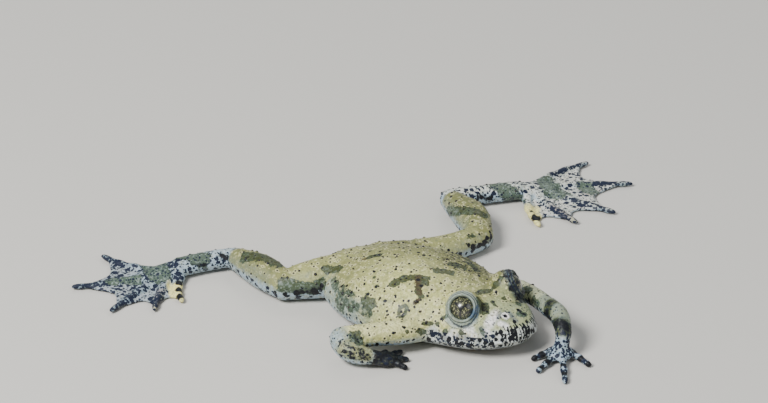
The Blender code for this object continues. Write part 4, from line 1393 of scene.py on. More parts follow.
class Loom:
    """Weaves the node tree of one material."""

    def __init__(self, name: str) -> None:
        """Starts a material with its shader ready."""
        self.material = bpy.data.materials.new(name)
        self.material.use_nodes = True
        self.tree = self.material.node_tree
        self.shader = self.tree.nodes["Principled BSDF"]

    def node(
        self, kind: str, settings: dict[str, object], sockets: dict[str | int, object]
    ) -> Outputs:
        """Adds a node.

        Args:
            kind: The node's type.
            settings: Its own settings, set first.
            sockets: A value or a wire for each socket, by name or number.

        Returns:
            The node's outputs.
        """
        node = self.tree.nodes.new(kind)
        for name, value in settings.items():
            setattr(node, name, value)
        for key, value in sockets.items():
            self.feed(node.inputs[key], value)
        return Outputs(self, node)

    def feed(self, socket: bpy.types.NodeSocket, value: object) -> None:
        """Links a wire to a socket, or sets a value on it."""
        if isinstance(value, Wire):
            self.tree.links.new(value.socket, socket)
        elif isinstance(value, tuple) and len(value) == 3 and socket.type == "RGBA":
            socket.default_value = (*value, 1.0)
        else:
            socket.default_value = value

    def attribute(self, name: str, colour: bool = False) -> Wire:
        """A layer stored in the mesh."""
        found = self.node("ShaderNodeAttribute", {"attribute_name": name}, {})
        return found["Color" if colour else "Fac"]

    def place(self) -> Wire:
        """Where the surface is, in the object's own metres."""
        return self.node("ShaderNodeTexCoord", {}, {})["Object"]

    def noise(self, per_mm: float, detail: float = 2.0, shift: Place = (0.0, 0.0, 0.0)) -> Wire:
        """Soft noise from 0 to 1, with so many waves in a millimetre."""
        moved = self.node(
            "ShaderNodeVectorMath", {"operation": "ADD"}, {0: self.place(), 1: shift}
        )["Vector"]
        sockets = {"Vector": moved, "Scale": per_mm / METRES_PER_MM, "Detail": detail}
        return self.node("ShaderNodeTexNoise", {}, sockets)["Fac"]

    def cells(self, per_mm: float, settings: dict[str, object] | None = None) -> Outputs:
        """Round cells, so many in a millimetre."""
        sockets = {"Vector": self.place(), "Scale": per_mm / METRES_PER_MM}
        return self.node("ShaderNodeTexVoronoi", settings or {}, sockets)

    def mix(self, share: Wire | float, below: object, above: object) -> Wire:
        """One colour over another."""
        settings = {"data_type": "RGBA"}
        outputs = self.node("ShaderNodeMix", settings, {0: share, 6: below, 7: above})
        return outputs[2]

    def red_of(self, colour: Wire) -> Wire:
        """The red part of a colour, as a number."""
        return self.node("ShaderNodeSeparateColor", {}, {"Color": colour})["Red"]

    def bump(self, height: Wire, depth_mm: float, strength: float = 1.0) -> Wire:
        """The normal over a height from 0 to 1."""
        sockets = {"Height": height, "Strength": strength, "Distance": depth_mm * METRES_PER_MM}
        return self.node("ShaderNodeBump", {}, sockets)["Normal"]

    def set(self, **sockets: object) -> None:
        """Feeds the shader's sockets, named with underscores for spaces."""
        for name, value in sockets.items():
            self.feed(self.shader.inputs[name.replace("_", " ").title()], value)


class SkinCoat:
    """The skin's colour under way, with the noises that all its layers share."""

    def __init__(self, loom: Loom) -> None:
        """Starts with the ground colour stored in the mesh."""
        self.loom = loom
        self.colour = loom.attribute("ground", colour=True)
        self.grain = loom.attribute("grain")
        self.smooth = 1.0 - self.grain
        self.fine = loom.noise(2.4, 3.0, (0.3, 0.1, 0.7))
        self.dirt = loom.noise(0.9, 4.0, (0.7, 0.4, 0.2))

    def over(self, share: Wire, pigment: Pigment | Wire) -> None:
        """Mixes a pigment, or a colour woven apart, over what is there."""
        above = pigment.value if isinstance(pigment, Pigment) else pigment
        self.colour = self.loom.mix(share, self.colour, above)

    def wobble(self, fine: float, dirt: float) -> Wire:
        """So much of each noise, about 0, to break up an edge."""
        return (self.fine - 0.5) * fine + (self.dirt - 0.5) * dirt

    def cell_marks(self, per_mm: float) -> tuple[Wire, Wire]:
        """Round cells, so many in a millimetre: the gap to each one's middle, and its chance."""
        cells = self.loom.cells(per_mm)
        return cells["Distance"], self.loom.red_of(cells["Color"])


@dataclass(frozen=True)
class SkinFinish:
    """Moist, finely grained skin whose markings come from the layers in the mesh."""

    name: str = "toad_skin"
    fleck_cells: float = 1.35
    speck_cells: float = 1.9
    spot_cells: float = 1.05
    dot_cells: float = 2.1
    lid_lines: float = 2.7
    bar_gap: float = 0.62
    roughness: float = 0.5
    coat: float = 0.12
    coat_roughness: float = 0.28
    specular: float = 0.3
    subsurface: float = 0.06
    subsurface_radius: Colour = (1.0, 0.6, 0.35)
    subsurface_scale: float = 0.0003
    bump_depth: float = 0.13
    bump_strength: float = 0.9

    def mottle(self, coat: SkinCoat, pores: Wire) -> None:
        """Clouds the ground colour, more on grainy skin than on smooth."""
        broad, fine, dirt = coat.loom.noise(0.32, 3.0), coat.fine, coat.dirt
        coat.over(broad.ramp(0.42, 0.72) * coat.grain * 0.35, Pigment.OLIVE_SAND)
        coat.over(dirt.ramp(0.52, 0.72) * coat.grain * 0.4, Pigment.GREY_GREEN)
        coat.over(fine.ramp(0.5, 0.7) * coat.grain * 0.55, Pigment.OLIVE_SAND)
        coat.over(pores.ramp(0.35, 0.7) * 0.4, Pigment.OLIVE_SAND)
        coat.over(dirt.ramp(0.5, 0.64) * coat.smooth * 0.4, Pigment.BLUE_GREY)
        coat.over(fine.ramp(0.52, 0.66) * coat.smooth * 0.35, Pigment.LAVENDER)

    def mark(self, coat: SkinCoat) -> Wire:
        """Draws the olive and umber marks over cream specks, and tells where neither is."""
        loom, grain, fine, dirt = coat.loom, coat.grain, coat.fine, coat.dirt
        ragged = coat.wobble(1.0, 1.3)
        olive = loom.attribute("olive") + ragged
        umber = (loom.attribute("umber") + ragged).ramp(-0.15, 0.3)
        plain = 1.0 - olive.ramp(-0.2, 0.1).larger(umber)
        gap, chance = coat.cell_marks(self.speck_cells)
        specks = (gap * -1.0).ramp(-0.36, -0.14) * (chance > 0.4) * grain * plain
        coat.over(specks * 0.55, Pigment.CREAM)
        mark = loom.mix(grain, Pigment.GREY_GREEN.value, Pigment.OLIVE.value)
        mark = loom.mix(dirt.ramp(0.45, 0.65) * 0.4, mark, Pigment.GREY_GREEN.value)
        pale = fine.ramp(0.5, 0.62) * (coat.smooth * 0.45 + 0.15)
        coat.over(olive.ramp(-0.1, 0.18) * 0.94, loom.mix(pale, mark, Pigment.BLUE_GREY.value))
        edge = olive.ramp(-0.08, 0.1) * (1.0 - olive.ramp(0.1, 0.4))
        coat.over(edge * 0.65, Pigment.BOTTLE)
        coat.over(umber * (fine.ramp(0.42, 0.56) * 0.45 + 0.35), Pigment.UMBER)
        return plain

    def fleck(self, coat: SkinCoat, plain: Wire) -> None:
        """Black flecks on grainy skin, each in a cream halo of painted glint where the skin is
        plain.
        """
        gap, chance = coat.cell_marks(self.fleck_cells)
        here = (chance > 0.5) * coat.grain
        # Painted glint: a cream halo beside each black fleck.
        coat.over((gap * -1.0).ramp(-0.62, -0.34) * here * plain * 0.48, Pigment.CREAM)
        coat.over((gap * -1.0).ramp(-0.33, -0.23) * here * 0.95, Pigment.NAVY)

    def spot(self, coat: SkinCoat) -> Wire:
        """Draws the large and small ink spots of smooth skin, and tells where they are."""
        loom, fine = coat.loom, coat.fine
        cover = loom.attribute("cover")
        gap, chance = coat.cell_marks(self.spot_cells)
        size = chance * 0.36 + 0.12 + (fine - 0.5) * 0.7 + cover * 0.13
        large = (size - gap).ramp(-0.02, 0.04) * loom.attribute("spots")
        gap, chance = coat.cell_marks(self.dot_cells)
        size = chance * 0.34 + 0.1 + (fine - 0.5) * 0.5 + cover * 0.16
        small = (size - gap).ramp(-0.02, 0.05) * loom.attribute("dots")
        dark = large.larger(small).ramp(0.25, 0.6)
        coat.over(dark, loom.mix(coat.grain, Pigment.INK.value, Pigment.NAVY.value))
        return dark

    def belly(self, coat: SkinCoat) -> None:
        """Yellow underside marbled with black."""
        loom = coat.loom
        belly = loom.attribute("belly") + (coat.fine - 0.5) * 0.2
        marbling = loom.noise(0.30, 2.0, (0.9, 0.3, 0.5)).ramp(0.47, 0.53)
        underside = loom.mix(marbling, Pigment.YELLOW.value, Pigment.NAVY.value)
        coat.over(belly.ramp(0.35, 0.6), underside)

    def blacken(self, coat: SkinCoat) -> Wire:
        """Draws the black blots and the bars of the lips, and tells where they are."""
        turns = coat.loom.attribute("lip") * (2 * math.pi / self.bar_gap)
        wave = (turns + coat.wobble(5.0, 12.0)).cosine()
        bars = wave * 0.3 + coat.loom.attribute("bars") + coat.wobble(1.4, 2.4) - 0.82
        black = (coat.loom.attribute("black") + coat.wobble(0.5, 0.5)).ramp(-0.05, 0.15)
        black = black.larger(bars.ramp(0.0, 0.15))
        coat.over(black, Pigment.NAVY)
        return black

    def line_lids(self, coat: SkinCoat) -> Wire:
        """Draws the dark ringed lines of the lids, and tells where they are."""
        lid = coat.loom.attribute("lid")
        inside = lid.ramp(-0.2, 0.02) * (1.0 - lid.ramp(0.85, 1.15))
        wave = (lid * (2 * math.pi * self.lid_lines) + (coat.fine - 0.5) * 2.6).cosine()
        lines = wave.ramp(-0.1, 0.8) * inside
        coat.over(lines * 0.8, Pigment.INK)
        return lines

    def build(self) -> bpy.types.Material:
        """Weaves the skin's material."""
        loom = Loom(self.name)
        coat = SkinCoat(loom)
        pores = loom.cells(3.2, {"feature": "SMOOTH_F1"})["Distance"]
        self.mottle(coat, pores)
        self.fleck(coat, self.mark(coat))
        dark = self.spot(coat)
        self.belly(coat)
        black = self.blacken(coat)
        lines = self.line_lids(coat)
        grit = loom.noise(7.0, 3.0)
        height = (1.0 - pores) * 0.6 + grit * 0.4 - lines * 0.5
        loom.set(
            base_color=coat.colour,
            roughness=self.roughness + (grit - 0.5) * 0.3 - loom.attribute("wet") * 0.14,
            coat_weight=(1.0 - black.larger(dark) * 0.7) * self.coat,
            normal=loom.bump(height, self.bump_depth, self.bump_strength),
            coat_roughness=self.coat_roughness,
            subsurface_weight=self.subsurface,
            subsurface_radius=self.subsurface_radius,
            subsurface_scale=self.subsurface_scale,
        )
        loom.shader.inputs["Specular IOR Level"].default_value = self.specular
        return loom.material


@dataclass(frozen=True)
class HornFinish:
    """Black horny points that stand on the back."""

    name: str = "black_horn"
    roughness: float = 0.3

    def build(self) -> bpy.types.Material:
        """Weaves the points' material."""
        loom = Loom(self.name)
        tone = loom.noise(1.5, 1.0)
        brown = tone.ramp(0.5, 0.9) * 0.6
        loom.set(
            base_color=loom.mix(brown, Pigment.NAVY.value, Pigment.UMBER.value),
            roughness=tone * 0.1 + self.roughness,
        )
        return loom.material


@dataclass(frozen=True)
class EyeFinish:
    """Brassy iris flecked with black round a small dark pupil, under a wet cornea."""

    name: str = "toad_eye"
    brass: Colour = (0.055, 0.065, 0.025)
    pale_brass: Colour = (0.44, 0.43, 0.22)
    black: Colour = (0.004, 0.004, 0.004)
    rim: Colour = (0.02, 0.03, 0.045)
    roughness: float = 0.28
    coat_roughness: float = 0.03

    def build(self) -> bpy.types.Material:
        """Weaves the eye's material."""
        loom = Loom(self.name)
        fine = loom.noise(5.5, 4.0)
        veins = loom.cells(2.6, {"feature": "DISTANCE_TO_EDGE"})["Distance"]
        iris = loom.mix(fine.ramp(0.46, 0.57), self.brass, self.pale_brass)
        net = (veins * -1.0).ramp(-0.2, -0.08) * loom.attribute("net")
        iris = loom.mix(net * 0.95, iris, self.black)
        flecks = loom.noise(2.6, 3.0, (0.2, 0.6, 0.1)).ramp(0.53, 0.59)
        iris = loom.mix(flecks * 0.85, iris, self.black)
        pupil = loom.attribute("pupil") + (fine - 0.5) * 0.25
        iris = loom.mix(pupil.ramp(-0.06, 0.06), iris, self.black)
        rim = loom.attribute("rim")
        colour = loom.mix(rim, iris, self.rim)
        loom.set(
            base_color=colour,
            roughness=fine * 0.1 + self.roughness,
            coat_weight=1.0,
            coat_roughness=self.coat_roughness,
        )
        return loom.material


@dataclass(frozen=True)
class FloorFinish:
    """Plain pale matt floor."""

    name: str = "pale_floor"
    colour: Colour = (0.62, 0.60, 0.55)

    def build(self) -> bpy.types.Material:
        """Weaves the floor's material."""
        loom = Loom(self.name)
        loom.set(base_color=self.colour, roughness=0.85)
        return loom.material


@dataclass
class Eye:
    """One eyeball with its bulging cornea, as deep as a real one."""

    side: Side
    centre: Vector
    axis: Vector
    radius: float = 2.45
    cornea_rise: float = 0.14
    cornea_spread: float = 52.0
    iris_radius: float = 1.95
    pupil_radius: float = 0.5
    around: int = 72
    along: int = 60

    def build(self, finish: bpy.types.Material) -> bpy.types.Object:
        """Makes the eye.

        Args:
            finish: Its material.

        Returns:
            The finished object.
        """
        turn = Vector((0, 0, 1)).rotation_difference(self.axis).to_matrix()
        up_hint = turn.inverted() @ Vector((0, 0, 1))
        zero = math.atan2(up_hint.y, up_hint.x)
        clay = Clay()
        rings = []
        for i in range(self.along):
            lean = math.pi * (i + 0.35) / (self.along - 0.3)
            spread = math.radians(self.cornea_spread)
            rise = self.cornea_rise * max(0.0, math.cos(lean / spread * math.pi / 2)) ** 1.5
            rise = rise if lean < spread else 0.0
            reach = self.radius + rise
            ring = []
            for j in range(self.around):
                a = 2 * math.pi * j / self.around
                flat = reach * math.sin(lean)
                local = Vector((flat * math.cos(a), flat * math.sin(a), reach * math.cos(lean)))
                ring.append(self.centre + turn @ local)
            rings.append(ring)
        clay.loft(rings)
        obj = clay.take(f"eye_{self.side.value}_ball")
        self.store_layers(obj.data, turn, zero)
        return finished(obj, finish, [f"eye_{self.side.value}"])

    def store_layers(self, mesh: bpy.types.Mesh, turn: Matrix, zero: float) -> None:
        """Writes where pupil, dark net and rim lie into the mesh.

        Args:
            mesh: The eyeball's mesh.
            turn: From the eye's own frame to the toad's.
            zero: The direction of up in the eye's own frame.
        """
        count = len(mesh.vertices)
        points = np.empty(count * 3)
        mesh.vertices.foreach_get("co", points)
        local = (points.reshape(-1, 3) - np.array(self.centre)) @ np.array(turn)
        flat = np.hypot(local[:, 0], local[:, 1])
        angle = np.arctan2(local[:, 1], local[:, 0]) - zero
        front = local[:, 2] > 0
        edge = self.pupil_radius * (1 + 0.35 * np.cos(3 * (angle - math.pi)))
        pupil = np.where(front, 1 - flat / edge, -1.0)
        arms = step(0.95, 0.3, flat / self.iris_radius)
        arms = arms * np.clip(np.cos(3 * (angle - math.pi)), 0, 1) ** 6
        pupil = np.maximum(np.clip(pupil, -1, 1), np.where(front, arms * 1.1 - 0.25, -1.0))
        rim = np.where(front, step(0.86, 1.0, flat / self.iris_radius), 1.0)
        net = np.where(front, step(0.15, 0.5, flat / self.iris_radius), 0.0)
        for name, values in (("pupil", pupil), ("rim", rim), ("net", net)):
            layer = mesh.attributes.new(name, "FLOAT", "POINT")
            layer.data.foreach_set("value", values.astype(np.float32))


def finished(
    obj: bpy.types.Object, finish: bpy.types.Material, nodes: Sequence[str]
) -> bpy.types.Object:
    """Turns a piece into metres, dresses it and lets it ride with the toad.

    Args:
        obj: The piece, in millimetres.
        finish: Its material.
        nodes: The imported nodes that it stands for.

    Returns:
        The same piece.
    """
    obj.data.transform(Matrix.Scale(METRES_PER_MM, 4))
    obj.data.materials.clear()
    obj.data.materials.append(finish)
    obj.data.shade_smooth()
    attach(obj, BODY)
    if nodes:
        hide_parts(*nodes)
    log.info("%s: %d faces", obj.name, len(obj.data.polygons))
    return obj


@dataclass
class Flesh:
    """The whole toad's skin as one piece, from its sub-assemblies."""

    trunk: Trunk
    brows: list[Brow]
    snout: Snout
    arms: list[Arm]
    legs: list[Leg]
    first_pitch: float = 0.24
    pitch: float = 0.225
    smoothing: int = 2
    smoothing_factor: float = 0.5
    nodes: tuple[str, ...] = ("torso", "head")

    def surface(self, obj: bpy.types.Object, pitch: float) -> None:
        """Turns heaped or cut forms into one even closed surface."""
        skin = obj.modifiers.new("Surface", "REMESH")
        skin.mode = "VOXEL"
        skin.voxel_size = pitch
        settle(obj)

    def heap(self) -> bpy.types.Object:
        """All forms as one surface, with the sockets cut out."""
        clay = Clay()
        for part in (self.trunk, *self.brows, self.snout, *self.arms, *self.legs):
            part.shape(clay)
        obj = clay.take("skin")
        self.surface(obj, self.first_pitch)
        for brow in self.brows:
            cutter = Clay()
            brow.hollow(cutter)
            tool = cutter.take("socket_tool")
            self.surface(tool, self.first_pitch / 2)
            cut = obj.modifiers.new("Socket", "BOOLEAN")
            cut.operation = "DIFFERENCE"
            cut.object = tool
            cut.solver = "EXACT"
            settle(obj)
            bpy.data.objects.remove(tool, do_unlink=True)
        self.surface(obj, self.pitch)
        soften = obj.modifiers.new("Soften", "SMOOTH")
        soften.iterations = self.smoothing
        soften.factor = self.smoothing_factor
        settle(obj)
        return obj

    def build(self, finish: bpy.types.Material, horn: bpy.types.Material) -> bpy.types.Object:
        """Makes the skin and the horny points on it.

        Args:
            finish: The skin's material.
            horn: The points' material.

        Returns:
            The finished skin.
        """
        obj = self.heap()
        hide = Hide(obj.data)
        log.info("skin surfaced: %d points", len(hide.points))
        hide.push(self.trunk.wart_field(hide) + self.trunk.bump_field(hide))
        hide.refresh()
        moves = self.trunk.fold_field(hide)
        for part in (*self.brows, *self.arms, *self.legs):
            moves = moves + part.fold_field(hide)
        moves = moves + self.snout.groove_field(hide) + self.snout.nostril_field(hide)
        hide.push(moves)
        hide.points[:, 2] = np.maximum(hide.points[:, 2], 0.0)
        hide.refresh()
        for part in (self.trunk, self.snout, *self.brows, *self.arms, *self.legs):
            part.paint(hide)
        hide.store()
        HornyPoints().build(hide, self.trunk.tips, horn)
        return finished(obj, finish, self.all_nodes())

    def all_nodes(self) -> list[str]:
        """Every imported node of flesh."""
        names = list(self.nodes)
        for side in Side:
            for part in ("upper_arm", "forearm", "hand", "thigh", "shank", "tarsus", "foot"):
                names.append(f"{part}_{side.value}")
        return names


@dataclass
class HornyPoints:
    """Hundreds of tiny black horny points, one on each tipped wart, from one node tree."""

    size: float = 0.56
    smallest: float = 0.7
    largest: float = 1.15
    sunk: float = 0.55
    seed: int = 4

    def tree(self) -> bpy.types.GeometryNodeTree:
        """Builds the node tree that stands a bead on each given place."""
        tree = bpy.data.node_groups.new("horny_points", "GeometryNodeTree")
        face = tree.interface
        face.new_socket("Places", in_out="INPUT", socket_type="NodeSocketGeometry")
        for name in ("Size", "Smallest", "Largest"):
            face.new_socket(name, in_out="INPUT", socket_type="NodeSocketFloat")
        face.new_socket("Seed", in_out="INPUT", socket_type="NodeSocketInt")
        face.new_socket("Finish", in_out="INPUT", socket_type="NodeSocketMaterial")
        face.new_socket("Points", in_out="OUTPUT", socket_type="NodeSocketGeometry")

        def add(kind: str, feeds: dict[str | int, object]) -> bpy.types.Node:
            """Adds a node, with a value or a link for each named input."""
            node = tree.nodes.new(kind)
            for key, value in feeds.items():
                if isinstance(value, bpy.types.NodeSocket):
                    tree.links.new(value, node.inputs[key])
                else:
                    node.inputs[key].default_value = value
            return node

        given = add("NodeGroupInput", {}).outputs
        layers = []
        for name, kind in (("wart", "FLOAT"), ("away", "FLOAT_VECTOR")):
            layer = add("GeometryNodeInputNamedAttribute", {"Name": name})
            layer.data_type = kind
            layers.append(layer.outputs["Attribute"])
        wart, away = layers
        bead = add("GeometryNodeMeshIcoSphere", {"Subdivisions": 2, "Radius": given["Size"]})
        turn = add("FunctionNodeAlignRotationToVector", {"Vector": away})
        limits = {2: given["Smallest"], 3: given["Largest"], "Seed": given["Seed"]}
        vary = add("FunctionNodeRandomValue", limits)
        scale = add("ShaderNodeMath", {0: vary.outputs[1], 1: wart})
        scale.operation = "MULTIPLY"
        feeds = {
            "Points": given["Places"],
            "Rotation": turn.outputs["Rotation"],
            "Instance": bead.outputs["Mesh"],
            "Scale": scale.outputs["Value"],
        }
        stand = add("GeometryNodeInstanceOnPoints", feeds)
        real = add("GeometryNodeRealizeInstances", {"Geometry": stand.outputs["Instances"]})
        feeds = {"Geometry": real.outputs["Geometry"], "Material": given["Finish"]}
        dress = add("GeometryNodeSetMaterial", feeds)
        add("NodeGroupOutput", {"Points": dress.outputs["Geometry"]})
        return tree

    def build(
        self, hide: Hide, tips: list[tuple[int, float]], finish: bpy.types.Material
    ) -> bpy.types.Object:
        """Stands a point on each tip.

        Args:
            hide: The skin, in millimetres.
            tips: The skin's point under each tip, and its wart's radius.
            finish: The points' material.

        Returns:
            The finished object.
        """
        mesh = bpy.data.meshes.new("horny_points")
        rows = [index for index, _ in tips]
        away = hide.normals[rows]
        radii = np.array([radius for _, radius in tips])
        places = hide.points[rows] - away * (radii * self.size * self.sunk)[:, None]
        mesh.from_pydata(places.tolist(), [], [])
        layer = mesh.attributes.new("wart", "FLOAT", "POINT")
        layer.data.foreach_set("value", radii.astype(np.float32))
        layer = mesh.attributes.new("away", "FLOAT_VECTOR", "POINT")
        layer.data.foreach_set("vector", away.astype(np.float32).ravel())
        obj = new_object("horny_points", mesh)
        modifier = obj.modifiers.new("Points", "NODES")
        tree = self.tree()
        modifier.node_group = tree
        values = {
            "Size": self.size,
            "Smallest": self.smallest,
            "Largest": self.largest,
            "Seed": self.seed,
            "Finish": finish,
        }
        for item in tree.interface.items_tree:
            if item.in_out == "INPUT" and item.name in values:
                modifier[item.identifier] = values[item.name]
        settle(obj)
        return finished(obj, finish, [])


@dataclass(frozen=True)
class Lamp:
    """A soft lamp: metres from the toad along the camera's axes, its size and its power."""

    name: str
    right: float
    up: float
    back: float
    size: float
    watts: float


@dataclass
class Studio:
    """Pale floor, soft lights and a camera at the photograph's angle."""

    elevation: float = 28.0
    heading: float = 46.0
    distance: float = 700.0
    lens: float = 198.5
    sensor: float = 36.0
    aim: Place = (5.0, 0.0, 4.0)
    aim_right: float = -2.98
    aim_up: float = 16.28
    floor_size: float = 4.0
    clip: tuple[float, float] = (0.01, 20.0)
    sky_colour: Colour = (0.86, 0.92, 1.0)
    sky_strength: float = 0.32
    lamps: tuple[Lamp, ...] = (
        Lamp("key", -0.34, 0.5, 0.3, 0.26, 6.8),
        Lamp("fill", 0.5, 0.35, 0.3, 0.5, 0.9),
        Lamp("back", 0.1, 0.5, -0.5, 0.4, 0.9),
    )

    def axes(self) -> tuple[Vector, Vector, Vector]:
        """The camera's right, up and the way it looks."""
        lift, turn = math.radians(self.elevation), math.radians(self.heading)
        right = Vector((-math.cos(turn), math.sin(turn), 0))
        away = Vector((-math.sin(turn), -math.cos(turn), 0))
        view = away * math.cos(lift) - Vector((0, 0, math.sin(lift)))
        up = away * math.sin(lift) + Vector((0, 0, math.cos(lift)))
        return right, up, view

    def camera(self) -> None:
        """Makes the camera."""
        right, up, view = self.axes()
        target = Vector(self.aim) + right * self.aim_right + up * self.aim_up
        data = bpy.data.cameras.new("camera")
        data.lens = self.lens
        data.sensor_width = self.sensor
        data.clip_start, data.clip_end = self.clip
        eye = bpy.data.objects.new("camera", data)
        eye.location = (target - view * self.distance) * METRES_PER_MM
        eye.rotation_mode = "QUATERNION"
        eye.rotation_quaternion = view.to_track_quat("-Z", "Y")
        bpy.context.scene.collection.objects.link(eye)
        bpy.context.scene.camera = eye

    def hang(self, lamp: Lamp) -> None:
        """Hangs one soft lamp."""
        across, _, view = self.axes()
        flat = Vector((view.x, view.y, 0)).normalized()
        data = bpy.data.lights.new(lamp.name, "AREA")
        data.shape = "DISK"
        data.size = lamp.size
        data.energy = lamp.watts
        light = bpy.data.objects.new(lamp.name, data)
        light.location = across * lamp.right - flat * lamp.back + Vector((0, 0, lamp.up))
        light.rotation_mode = "QUATERNION"
        light.rotation_quaternion = (-light.location).to_track_quat("-Z", "Y")
        bpy.context.scene.collection.objects.link(light)

    def build(self, finish: bpy.types.Material) -> None:
        """Makes floor, lights, sky and camera.

        Args:
            finish: The floor's material.
        """
        bm = bmesh.new()
        bmesh.ops.create_grid(bm, x_segments=1, y_segments=1, size=self.floor_size / 2)
        mesh = bpy.data.meshes.new("floor")
        bm.to_mesh(mesh)
        bm.free()
        mesh.materials.append(finish)
        floor = new_object("floor", mesh)
        for lamp in self.lamps:
            self.hang(lamp)
        world = bpy.data.worlds.new("sky")
        world.use_nodes = True
        sky = world.node_tree.nodes["Background"].inputs
        sky["Color"].default_value = (*self.sky_colour, 1)
        sky["Strength"].default_value = self.sky_strength
        bpy.context.scene.world = world
        self.camera()


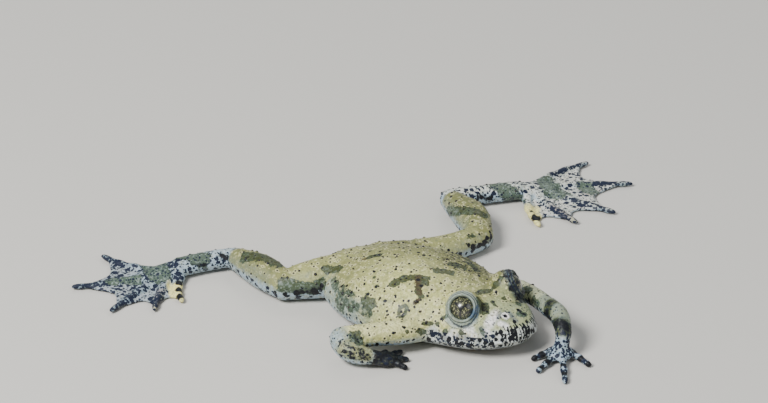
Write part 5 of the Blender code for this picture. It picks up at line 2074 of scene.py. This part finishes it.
def make_toad() -> Flesh:
    """The toad's sub-assemblies with their own places and marks."""
    eyes = {
        Side.RIGHT: (Vector((4.5, 13.5, 7.5)), Vector((0.75, 0.42, 0.51)).normalized()),
        Side.LEFT: (Vector((-4.7, 14.5, 8.0)), Vector((-0.62, 0.62, 0.48)).normalized()),
    }
    arms = [
        Arm(
            side=Side.RIGHT,
            palm=(17.3, 8.1, 1.15),
            palm_size=(2.0, 1.9, 1.0),
            finger_roots=((16.6, 6.8), (16.0, 7.7), (16.2, 8.7), (17.0, 9.4)),
            finger_tips=((14.9, 5.8), (13.2, 7.6), (14.2, 9.9), (16.3, 11.6)),
            knuckle_height=1.05,
            bands=(Mark(((20.0, 3.7, 4.8), (20.1, 4.4, 4.0)), 1.05),),
            streaks=(
                Mark(((22.9, 4.0, 3.3), (21.9, 5.9, 3.1), (20.5, 7.3, 2.9)), 0.34, 0.08),
                Mark(((22.5, 3.0, 4.0), (21.9, 4.9, 3.8), (20.6, 6.5, 3.4)), 0.34, 0.08),
                Mark(((22.6, 5.3, 2.5), (21.4, 6.8, 2.3), (20.4, 7.7, 2.3)), 0.36, 0.08),
                Mark(((22.6, 2.2, 3.0), (22.9, 4.6, 2.2)), 0.3, 0.04),
            ),
            dark_bands=(),
            blots=(),
            # Painted shade: this hand lies under its arm.
            shaded_hand=0.96,
            pale_elbow=0.7,
            mottle=0.0,
        ),
        Arm(
            side=Side.LEFT,
            palm=(-3.9, 27.2, 1.15),
            palm_size=(2.3, 2.2, 1.05),
            finger_roots=((-3.4, 25.4), (-2.4, 27.0), (-2.8, 28.7), (-5.6, 28.0)),
            finger_tips=((-0.3, 24.6), (2.1, 27.8), (1.6, 33.2), (-5.1, 32.4)),
            knuckle_height=0.95,
            bands=(
                Mark(((-8.3, 17.1, 5.4), (-7.6, 18.6, 5.6)), 0.7),
                Mark(((-9.6, 15.0, 5.8), (-10.4, 13.4, 5.0)), 0.7, 0.4),
            ),
            streaks=(),
            dark_bands=(
                Mark(((-7.9, 21.5, 6.6), (-6.6, 22.0, 5.4)), 1.2),
                Mark(((-5.0, 25.1, 5.0), (-5.4, 26.2, 5.7), (-5.3, 27.4, 5.1)), 1.45),
                Mark(((-4.6, 26.8, 4.6),), 1.0),
            ),
            blots=(
                (-6.3, 22.5, 4.7, 0.5), (-6.1, 23.3, 5.0, 0.45), (-6.8, 21.2, 5.0, 0.45),
                (-8.7, 15.9, 4.6, 0.45), (-7.6, 18.7, 4.6, 0.4), (-9.6, 19.2, 6.4, 0.4),
            ),
            shaded_hand=0.0,
            pale_elbow=0.0,
            mottle=0.8,
        ),
    ]
    legs = [
        Leg(
            side=Side.RIGHT,
            sole_end=(26.0, -39.8),
            toe_tips=((26.4, -30.4), (31.5, -31.6), (36.8, -36.5), (35.7, -47.0), (25.0, -51.3)),
            patches=(
                Mark(((13.8, -27.9, 5.0), (13.0, -24.9, 5.8), (12.4, -21.9, 5.6)), 1.3),
                Mark(((14.8, -17.8, 4.0), (13.6, -16.2, 3.4), (11.9, -14.6, 3.3)), 1.3),
                Mark(((11.9, -14.6, 3.3), (10.7, -13.0, 4.2)), 1.1),
                Mark(((9.2, -13.5, 6.3), (8.6, -11.3, 7.2)), 0.9, 0.7),
            ),
            bands=(
                Mark(((18.0, -38.4, 2.4), (17.6, -36.9, 3.2), (16.9, -35.6, 3.0)), 1.8),
                Mark(((22.6, -41.6, 2.0), (23.6, -39.8, 2.2), (24.2, -38.0, 1.7)), 2.2),
                Mark(((30.2, -43.6, 1.1), (28.6, -42.2, 1.3), (27.4, -40.8, 1.2)), 1.5),
            ),
            toe_spots=(
                Mark(((23.3, -34.2, 1.4),), 0.8),
                Mark(((24.6, -32.8, 1.1),), 0.85),
                Mark(((26.0, -31.3, 0.8),), 0.85),
            ),
            navy_marks=(
                Mark(((13.6, -16.0, 2.7), (11.9, -14.8, 2.8), (10.9, -13.4, 3.2)), 1.0),
                Mark(((14.1, -33.7, 3.3), (13.4, -32.2, 2.8)), 1.1),
                Mark(((19.6, -36.2, 2.2), (17.0, -34.6, 2.2)), 0.6),
            ),
            blots=(
                (15.6, -18.9, 2.5, 0.4), (14.8, -17.6, 2.4, 0.55), (13.6, -16.1, 2.2, 0.4),
                (12.6, -15.3, 2.7, 0.3), (11.3, -13.9, 2.5, 0.6), (10.6, -13.1, 3.9, 0.45),
                (10.3, -12.8, 4.7, 0.36),
            ),
            pale_top=0.1,
            dark_foot=0.7,
        ),
        Leg(
            side=Side.LEFT,
            sole_end=(-46.0, -12.6),
            toe_tips=((-34.8, -5.4), (-40.1, -1.5), (-47.4, 0.8), (-57.4, -4.1), (-57.9, -14.8)),
            patches=(
                Mark(((-24.8, -17.5, 2.6), (-23.6, -14.0, 4.4), (-24.0, -11.4, 5.2)), 0.95),
                Mark(((-24.0, -11.4, 5.2), (-25.0, -9.4, 4.9)), 0.95),
                Mark(((-18.3, -6.4, 5.0), (-19.4, -5.2, 4.3)), 0.8),
            ),
            bands=(
                Mark(((-37.0, -17.4, 3.2), (-37.4, -15.6, 3.0), (-37.9, -13.9, 1.6)), 1.75),
                Mark(((-46.8, -14.6, 1.9), (-45.6, -12.6, 1.8), (-45.0, -10.4, 1.5)), 2.3),
                Mark(((-50.9, -9.6, 1.0), (-50.3, -7.2, 0.6)), 1.5),
            ),
            toe_spots=(
                Mark(((-36.1, -6.9, 1.0),), 1.25),
                Mark(((-36.9, -9.0, 1.1),), 0.45),
            ),
            navy_marks=(
                Mark(((-18.2, -5.6, 2.4), (-22.2, -5.6, 2.6)), 0.9),
                Mark(((-32.7, -17.6, 2.3), (-34.6, -16.5, 1.9)), 1.0),
                Mark(((-36.6, -14.6, 1.7), (-38.6, -13.6, 1.5)), 0.7),
            ),
            blots=(
                (-16.2, -6.4, 3.4, 0.3), (-17.4, -6.0, 3.3, 0.45), (-18.2, -5.6, 2.8, 0.55),
                (-19.0, -5.6, 3.5, 0.3), (-19.7, -5.4, 2.5, 0.6), (-20.9, -5.4, 2.6, 0.65),
                (-21.6, -5.4, 3.2, 0.45), (-22.6, -5.6, 3.0, 0.5), (-22.8, -5.8, 3.9, 0.34),
                (-23.6, -6.4, 3.5, 0.36),
            ),
            pale_top=0.6,
            dark_foot=0.15,
        ),
    ]
    return Flesh(
        trunk=Trunk(),
        brows=[
            Brow(*eyes[Side.RIGHT], blue_marks=(Mark(((5.3, 16.2, 7.4), (4.3, 16.5, 8.4)), 0.85),)),
            Brow(*eyes[Side.LEFT], shade=0.9),
        ],
        snout=Snout(nostrils=((1.0, 19.45, 6.98), (-1.95, 19.6, 6.95))),
        arms=arms,
        legs=legs,
    )


def main() -> None:
    """Builds the toad's pieces in order, and the studio round them."""
    logging.basicConfig(level=logging.INFO, format="%(message)s")
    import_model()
    flesh = make_toad()
    flesh.build(SkinFinish().build(), HornFinish().build())
    eye_finish = EyeFinish().build()
    for side, brow in zip(Side, flesh.brows):
        Eye(side, brow.centre, brow.axis).build(eye_finish)
    Studio().build(FloorFinish().build())


if __name__ == "__main__":
    main()
